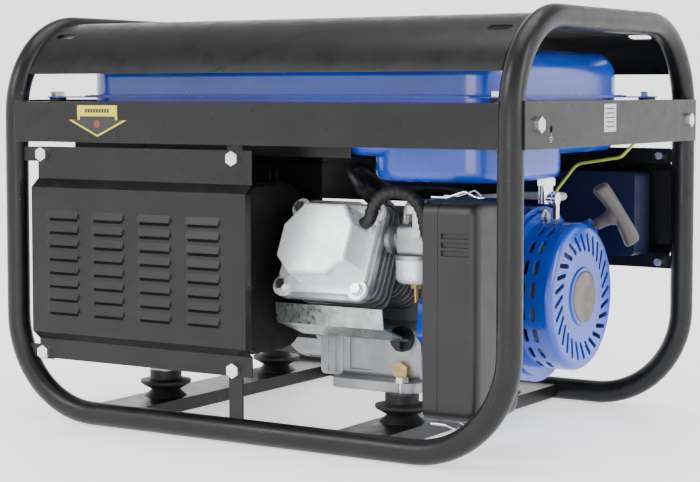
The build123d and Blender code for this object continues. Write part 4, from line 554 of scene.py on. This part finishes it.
carb_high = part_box("carburettor_body")[1]
clamp("fuel_hose_clamp", (0.125, -0.0993, carb_high.z + 0.0005), (0, 0, 1), 0.0041, "carburettor_body")
hose_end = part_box("breather_hose")[1].x
clamp("breather_hose_clamp", (hose_end - 0.008, -0.136, 0.198), (1, 0, 0), 0.0051, "breather_hose")



def smooth_path(points, per=14):
    """A Catmull-Rom curve through the points."""
    pts = [Vector(p) for p in points]
    pts = [pts[0] * 2 - pts[1]] + pts + [pts[-1] * 2 - pts[-2]]
    out = []
    for a, b, c, d in zip(pts, pts[1:], pts[2:], pts[3:]):
        for i in range(per):
            t = i / per
            out.append(0.5 * ((2 * b) + (c - a) * t + (2 * a - 5 * b + 4 * c - d) * t * t
                              + (3 * b - a - 3 * c + d) * t ** 3))
    out.append(pts[-2])
    return out


bm = bmesh.new()
hose_route = [
    (0.0990, -0.1380, 0.2150), (0.1060, -0.1385, 0.2205), (0.1105, -0.1385, 0.2330), (0.1200, -0.1380, 0.2440),
    (0.1360, -0.1370, 0.2478), (0.1520, -0.1362, 0.2430), (0.1625, -0.1360, 0.2310), (0.1665, -0.1360, 0.2160),
    (0.1700, -0.1360, 0.2045), (0.1790, -0.1360, 0.1985), (0.1898, -0.1360, 0.1980),
]
line = smooth_path(hose_route)
HOSE_RADIUS, RIPPLE, PLAIN_END = 0.0064, 0.00035, 20
ribbed = range(PLAIN_END + 1, len(line) - PLAIN_END)
tube(bm, line, [
    HOSE_RADIUS + (RIPPLE * (1 if (i // 3) % 2 else -1) if i in ribbed else 0) for i in range(len(line))
], 20)
hose = new_piece("crankcase_breather", bm, MATERIALS["rubber_black"], "breather_hose")
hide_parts("breather_hose")

# ------------------------------------------------------------------ plug boot and lead rings
boot_out = Vector((0, -math.cos(math.radians(25)), math.sin(math.radians(25))))
boot_base = Vector((0.0875, 0.035, 0.137)) + boot_out * 0.168 + Vector((0, 0.0152, 0.0326))
bm = bmesh.new()
for k in range(4):
    at = basis(boot_base + boot_out * (0.002 + 0.0045 * k), boot_out, (1, 0, 0))
    lathe(bm, [(0.0080, -0.0012), (0.0096 - 0.0004 * k, -0.0006), (0.0096 - 0.0004 * k, 0.0006), (0.0080, 0.0012)],
          at, 32)
new_piece("plug_boot_ribs", bm, MATERIALS["rubber_black"], "spark_plug_lead")

# ------------------------------------------------------------------ tank seam bead
upper_low, upper_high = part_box("tank_upper_shell")
seam_z = upper_low.z + 0.0006
bm = bmesh.new()
corner = rounded_rect(upper_high.x - upper_low.x - 0.0012, upper_high.y - upper_low.y - 0.0012, 0.040, 10)
tube(bm, [(x + (upper_high.x + upper_low.x) / 2, y + (upper_high.y + upper_low.y) / 2, seam_z) for x, y in corner],
     0.0007, 8, closed=True)
new_piece("tank_seam_bead", bm, MATERIALS["blue_paint"], "tank_upper_shell")

# ------------------------------------------------------------------ control panel meter and marks
panel_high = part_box("control_panel")[1]
meter = basis((0.0505, panel_high.y, 0.212), (0, 1, 0), (0, 0, 1))
bm = bmesh.new()
plate(bm, rounded_rect(0.034, 0.036, 0.003), 0.0024, meter)
bezel = new_piece("meter_bezel", bm, MATERIALS["black_plastic"], "control_panel", smooth=False)
sharpen(bezel, 0.0008)
bm = bmesh.new()
plate(bm, rounded_rect(0.028, 0.024, 0.0015), 0.0027, meter @ Matrix.Translation((0, 0.004, 0)))
new_piece("meter_dial", bm, DIAL_WHITE, "control_panel", smooth=False)
bm = bmesh.new()
for k in range(9):
    a = math.radians(130 - 10 * k)
    c = Vector((0.0155 * math.cos(a), -0.006 + 0.0155 * math.sin(a), 0))
    plate(bm, rounded_rect(0.0004, 0.0022 if k % 4 else 0.0034, 0.0001), 0.0029,
          meter @ Matrix.Translation(c) @ Matrix.Rotation(a - math.pi / 2, 4, "Z"))
plate(bm, rounded_rect(0.0006, 0.0145, 0.0002), 0.0030,
      meter @ Matrix.Translation((-0.002, 0.0015, 0)) @ Matrix.Rotation(0.28, 4, "Z"))
new_piece("meter_marks", bm, LABEL_BLACK, "control_panel", smooth=False)

# ------------------------------------------------------------------ painted shade: black sheets under the tank and behind the muffler guard


def sheet_box(bm, low, high):
    """Adds a plain bent-sheet wall between two corners."""
    x0, y0, z0 = low
    x1, y1, z1 = high
    plate(bm, [(x0, y0), (x1, y0), (x1, y1), (x0, y1)], z1, Matrix.Identity(4), base=z0)


# Painted shade: a black sheet with ribs under the tank, darkening its underside.
bm = bmesh.new()
sheet_box(bm, (-0.252, -0.153, 0.2796), (0.094, 0.153, 0.2806))
sheet_box(bm, (-0.252, -0.1540, 0.2796), (0.094, -0.1530, 0.2912))
sheet_box(bm, (-0.252, 0.1530, 0.2796), (0.094, 0.1540, 0.2912))
sheet_box(bm, (-0.2530, -0.154, 0.2796), (-0.2520, 0.154, 0.2912))
for k in range(5):
    sheet_box(bm, (-0.215 + 0.06 * k, -0.120, 0.2788), (-0.207 + 0.06 * k, 0.120, 0.2797))
new_piece("tank_underside_shade_sheet", bm, MATERIALS["black_paint"], "tank_lower_shell", smooth=False)
# Painted shade: a black wall behind the muffler, darkening the gap behind the guard.
bm = bmesh.new()
sheet_box(bm, (-0.245, -0.0600, 0.090), (0.000, -0.0590, 0.2790))
sheet_box(bm, (-0.245, -0.0600, 0.2700), (0.000, -0.0480, 0.2710))
for k in range(3):
    sheet_box(bm, (-0.225 + 0.08 * k, -0.0612, 0.100), (-0.217 + 0.08 * k, -0.0600, 0.262))
new_piece("muffler_backing_shade_sheet", bm, MATERIALS["black_paint"], "tank_lower_shell", smooth=False)
# Painted shade: a black sheet on the alternator side, closing a light gap.
bm = bmesh.new()
sheet_box(bm, (-0.225, 0.1210, 0.2210), (0.130, 0.1220, 0.2790))
sheet_box(bm, (-0.225, 0.1210, 0.2210), (0.130, 0.1300, 0.2220))
new_piece("alternator_gap_shade_sheet", bm, MATERIALS["black_paint"], "tank_lower_shell", smooth=False)

# ------------------------------------------------------------------ painted shadow: dark plates in the louvre slots
bm = bmesh.new()
for cx in (-0.2148, -0.1560, -0.0964, -0.0365):
    for row in range(8):
        z = 0.2165 - 0.0139 * row
        at = basis((cx, -0.21745, z - 0.0042), (0, -1, 0), (0, 0, 1))
        plate(bm, rounded_rect(0.0376, 0.0030, 0.0010), 0.00012, at)
new_piece("louvre_slot_shadows", bm, PAINTED_SLOT_SHADOW, "muffler_guard", smooth=False)

# ------------------------------------------------------------------ camera, floor and light
CAMERA_AT = (1.02711, -1.63939, 0.34225)
YAW, PITCH = math.radians(32.163), math.radians(3.647)
camera_data = bpy.data.cameras.new("camera")
camera_data.sensor_width = 36.0
camera_data.lens = 1819.76 / 700 * 36
camera_data.shift_y = -(241 - 209.1) / 700
camera = bpy.data.objects.new("camera", camera_data)
bpy.context.scene.collection.objects.link(camera)
forward = Vector((
    -math.sin(YAW) * math.cos(PITCH), math.cos(YAW) * math.cos(PITCH), -math.sin(PITCH),
))
camera.location = CAMERA_AT
camera.rotation_mode = "QUATERNION"
camera.rotation_quaternion = forward.to_track_quat("-Z", "Y")
bpy.context.scene.camera = camera

bm = bmesh.new()
sweep = [(0, 0), (2.0, 0), (4.4, 0), (5.2, 0.10), (5.8, 0.42), (6.15, 1.0), (6.25, 1.8), (6.25, 3.2)]
lathe(bm, sweep, Matrix.Identity(4), 96)
floor_mesh = bpy.data.meshes.new("floor")
bmesh.ops.recalc_face_normals(bm, faces=bm.faces)
bm.to_mesh(floor_mesh)
bm.free()
floor_mesh.shade_smooth()
floor = bpy.data.objects.new("floor", floor_mesh)
bpy.context.scene.collection.objects.link(floor)
paper = bpy.data.materials.new("paper")
paper.use_nodes = True
paper_bsdf = paper.node_tree.nodes["Principled BSDF"]
paper_bsdf.inputs["Base Color"].default_value = (0.94, 0.94, 0.94, 1)
paper_bsdf.inputs["Roughness"].default_value = 0.45
paper_bsdf.inputs["Emission Color"].default_value = (1, 1, 1, 1)
paper_bsdf.inputs["Emission Strength"].default_value = 0.85
floor_mesh.materials.append(paper)

world = bpy.data.worlds.new("studio")
world.use_nodes = True
world.node_tree.nodes["Background"].inputs["Color"].default_value = (1, 1, 1, 1)
world.node_tree.nodes["Background"].inputs["Strength"].default_value = 0.6
bpy.context.scene.world = world


def soft_light(name, at, size, power, target=(0, 0, 0.2)):
    data = bpy.data.lights.new(name, "AREA")
    data.shape = "RECTANGLE"
    data.size, data.size_y = size
    data.energy = power
    light = bpy.data.objects.new(name, data)
    bpy.context.scene.collection.objects.link(light)
    light.location = at
    light.rotation_mode = "QUATERNION"
    light.rotation_quaternion = (Vector(target) - Vector(at)).to_track_quat("-Z", "Y")


soft_light("key", (-1.4, -2.6, 2.3), (1.6, 1.2), 70)
soft_light("side", (3.0, 0.2, 1.5), (0.5, 2.2), 45)
soft_light("top", (0.1, 0.2, 2.9), (2.2, 2.2), 55)
soft_light("low_front", (0.9, -3.0, 0.35), (1.2, 0.5), 12)
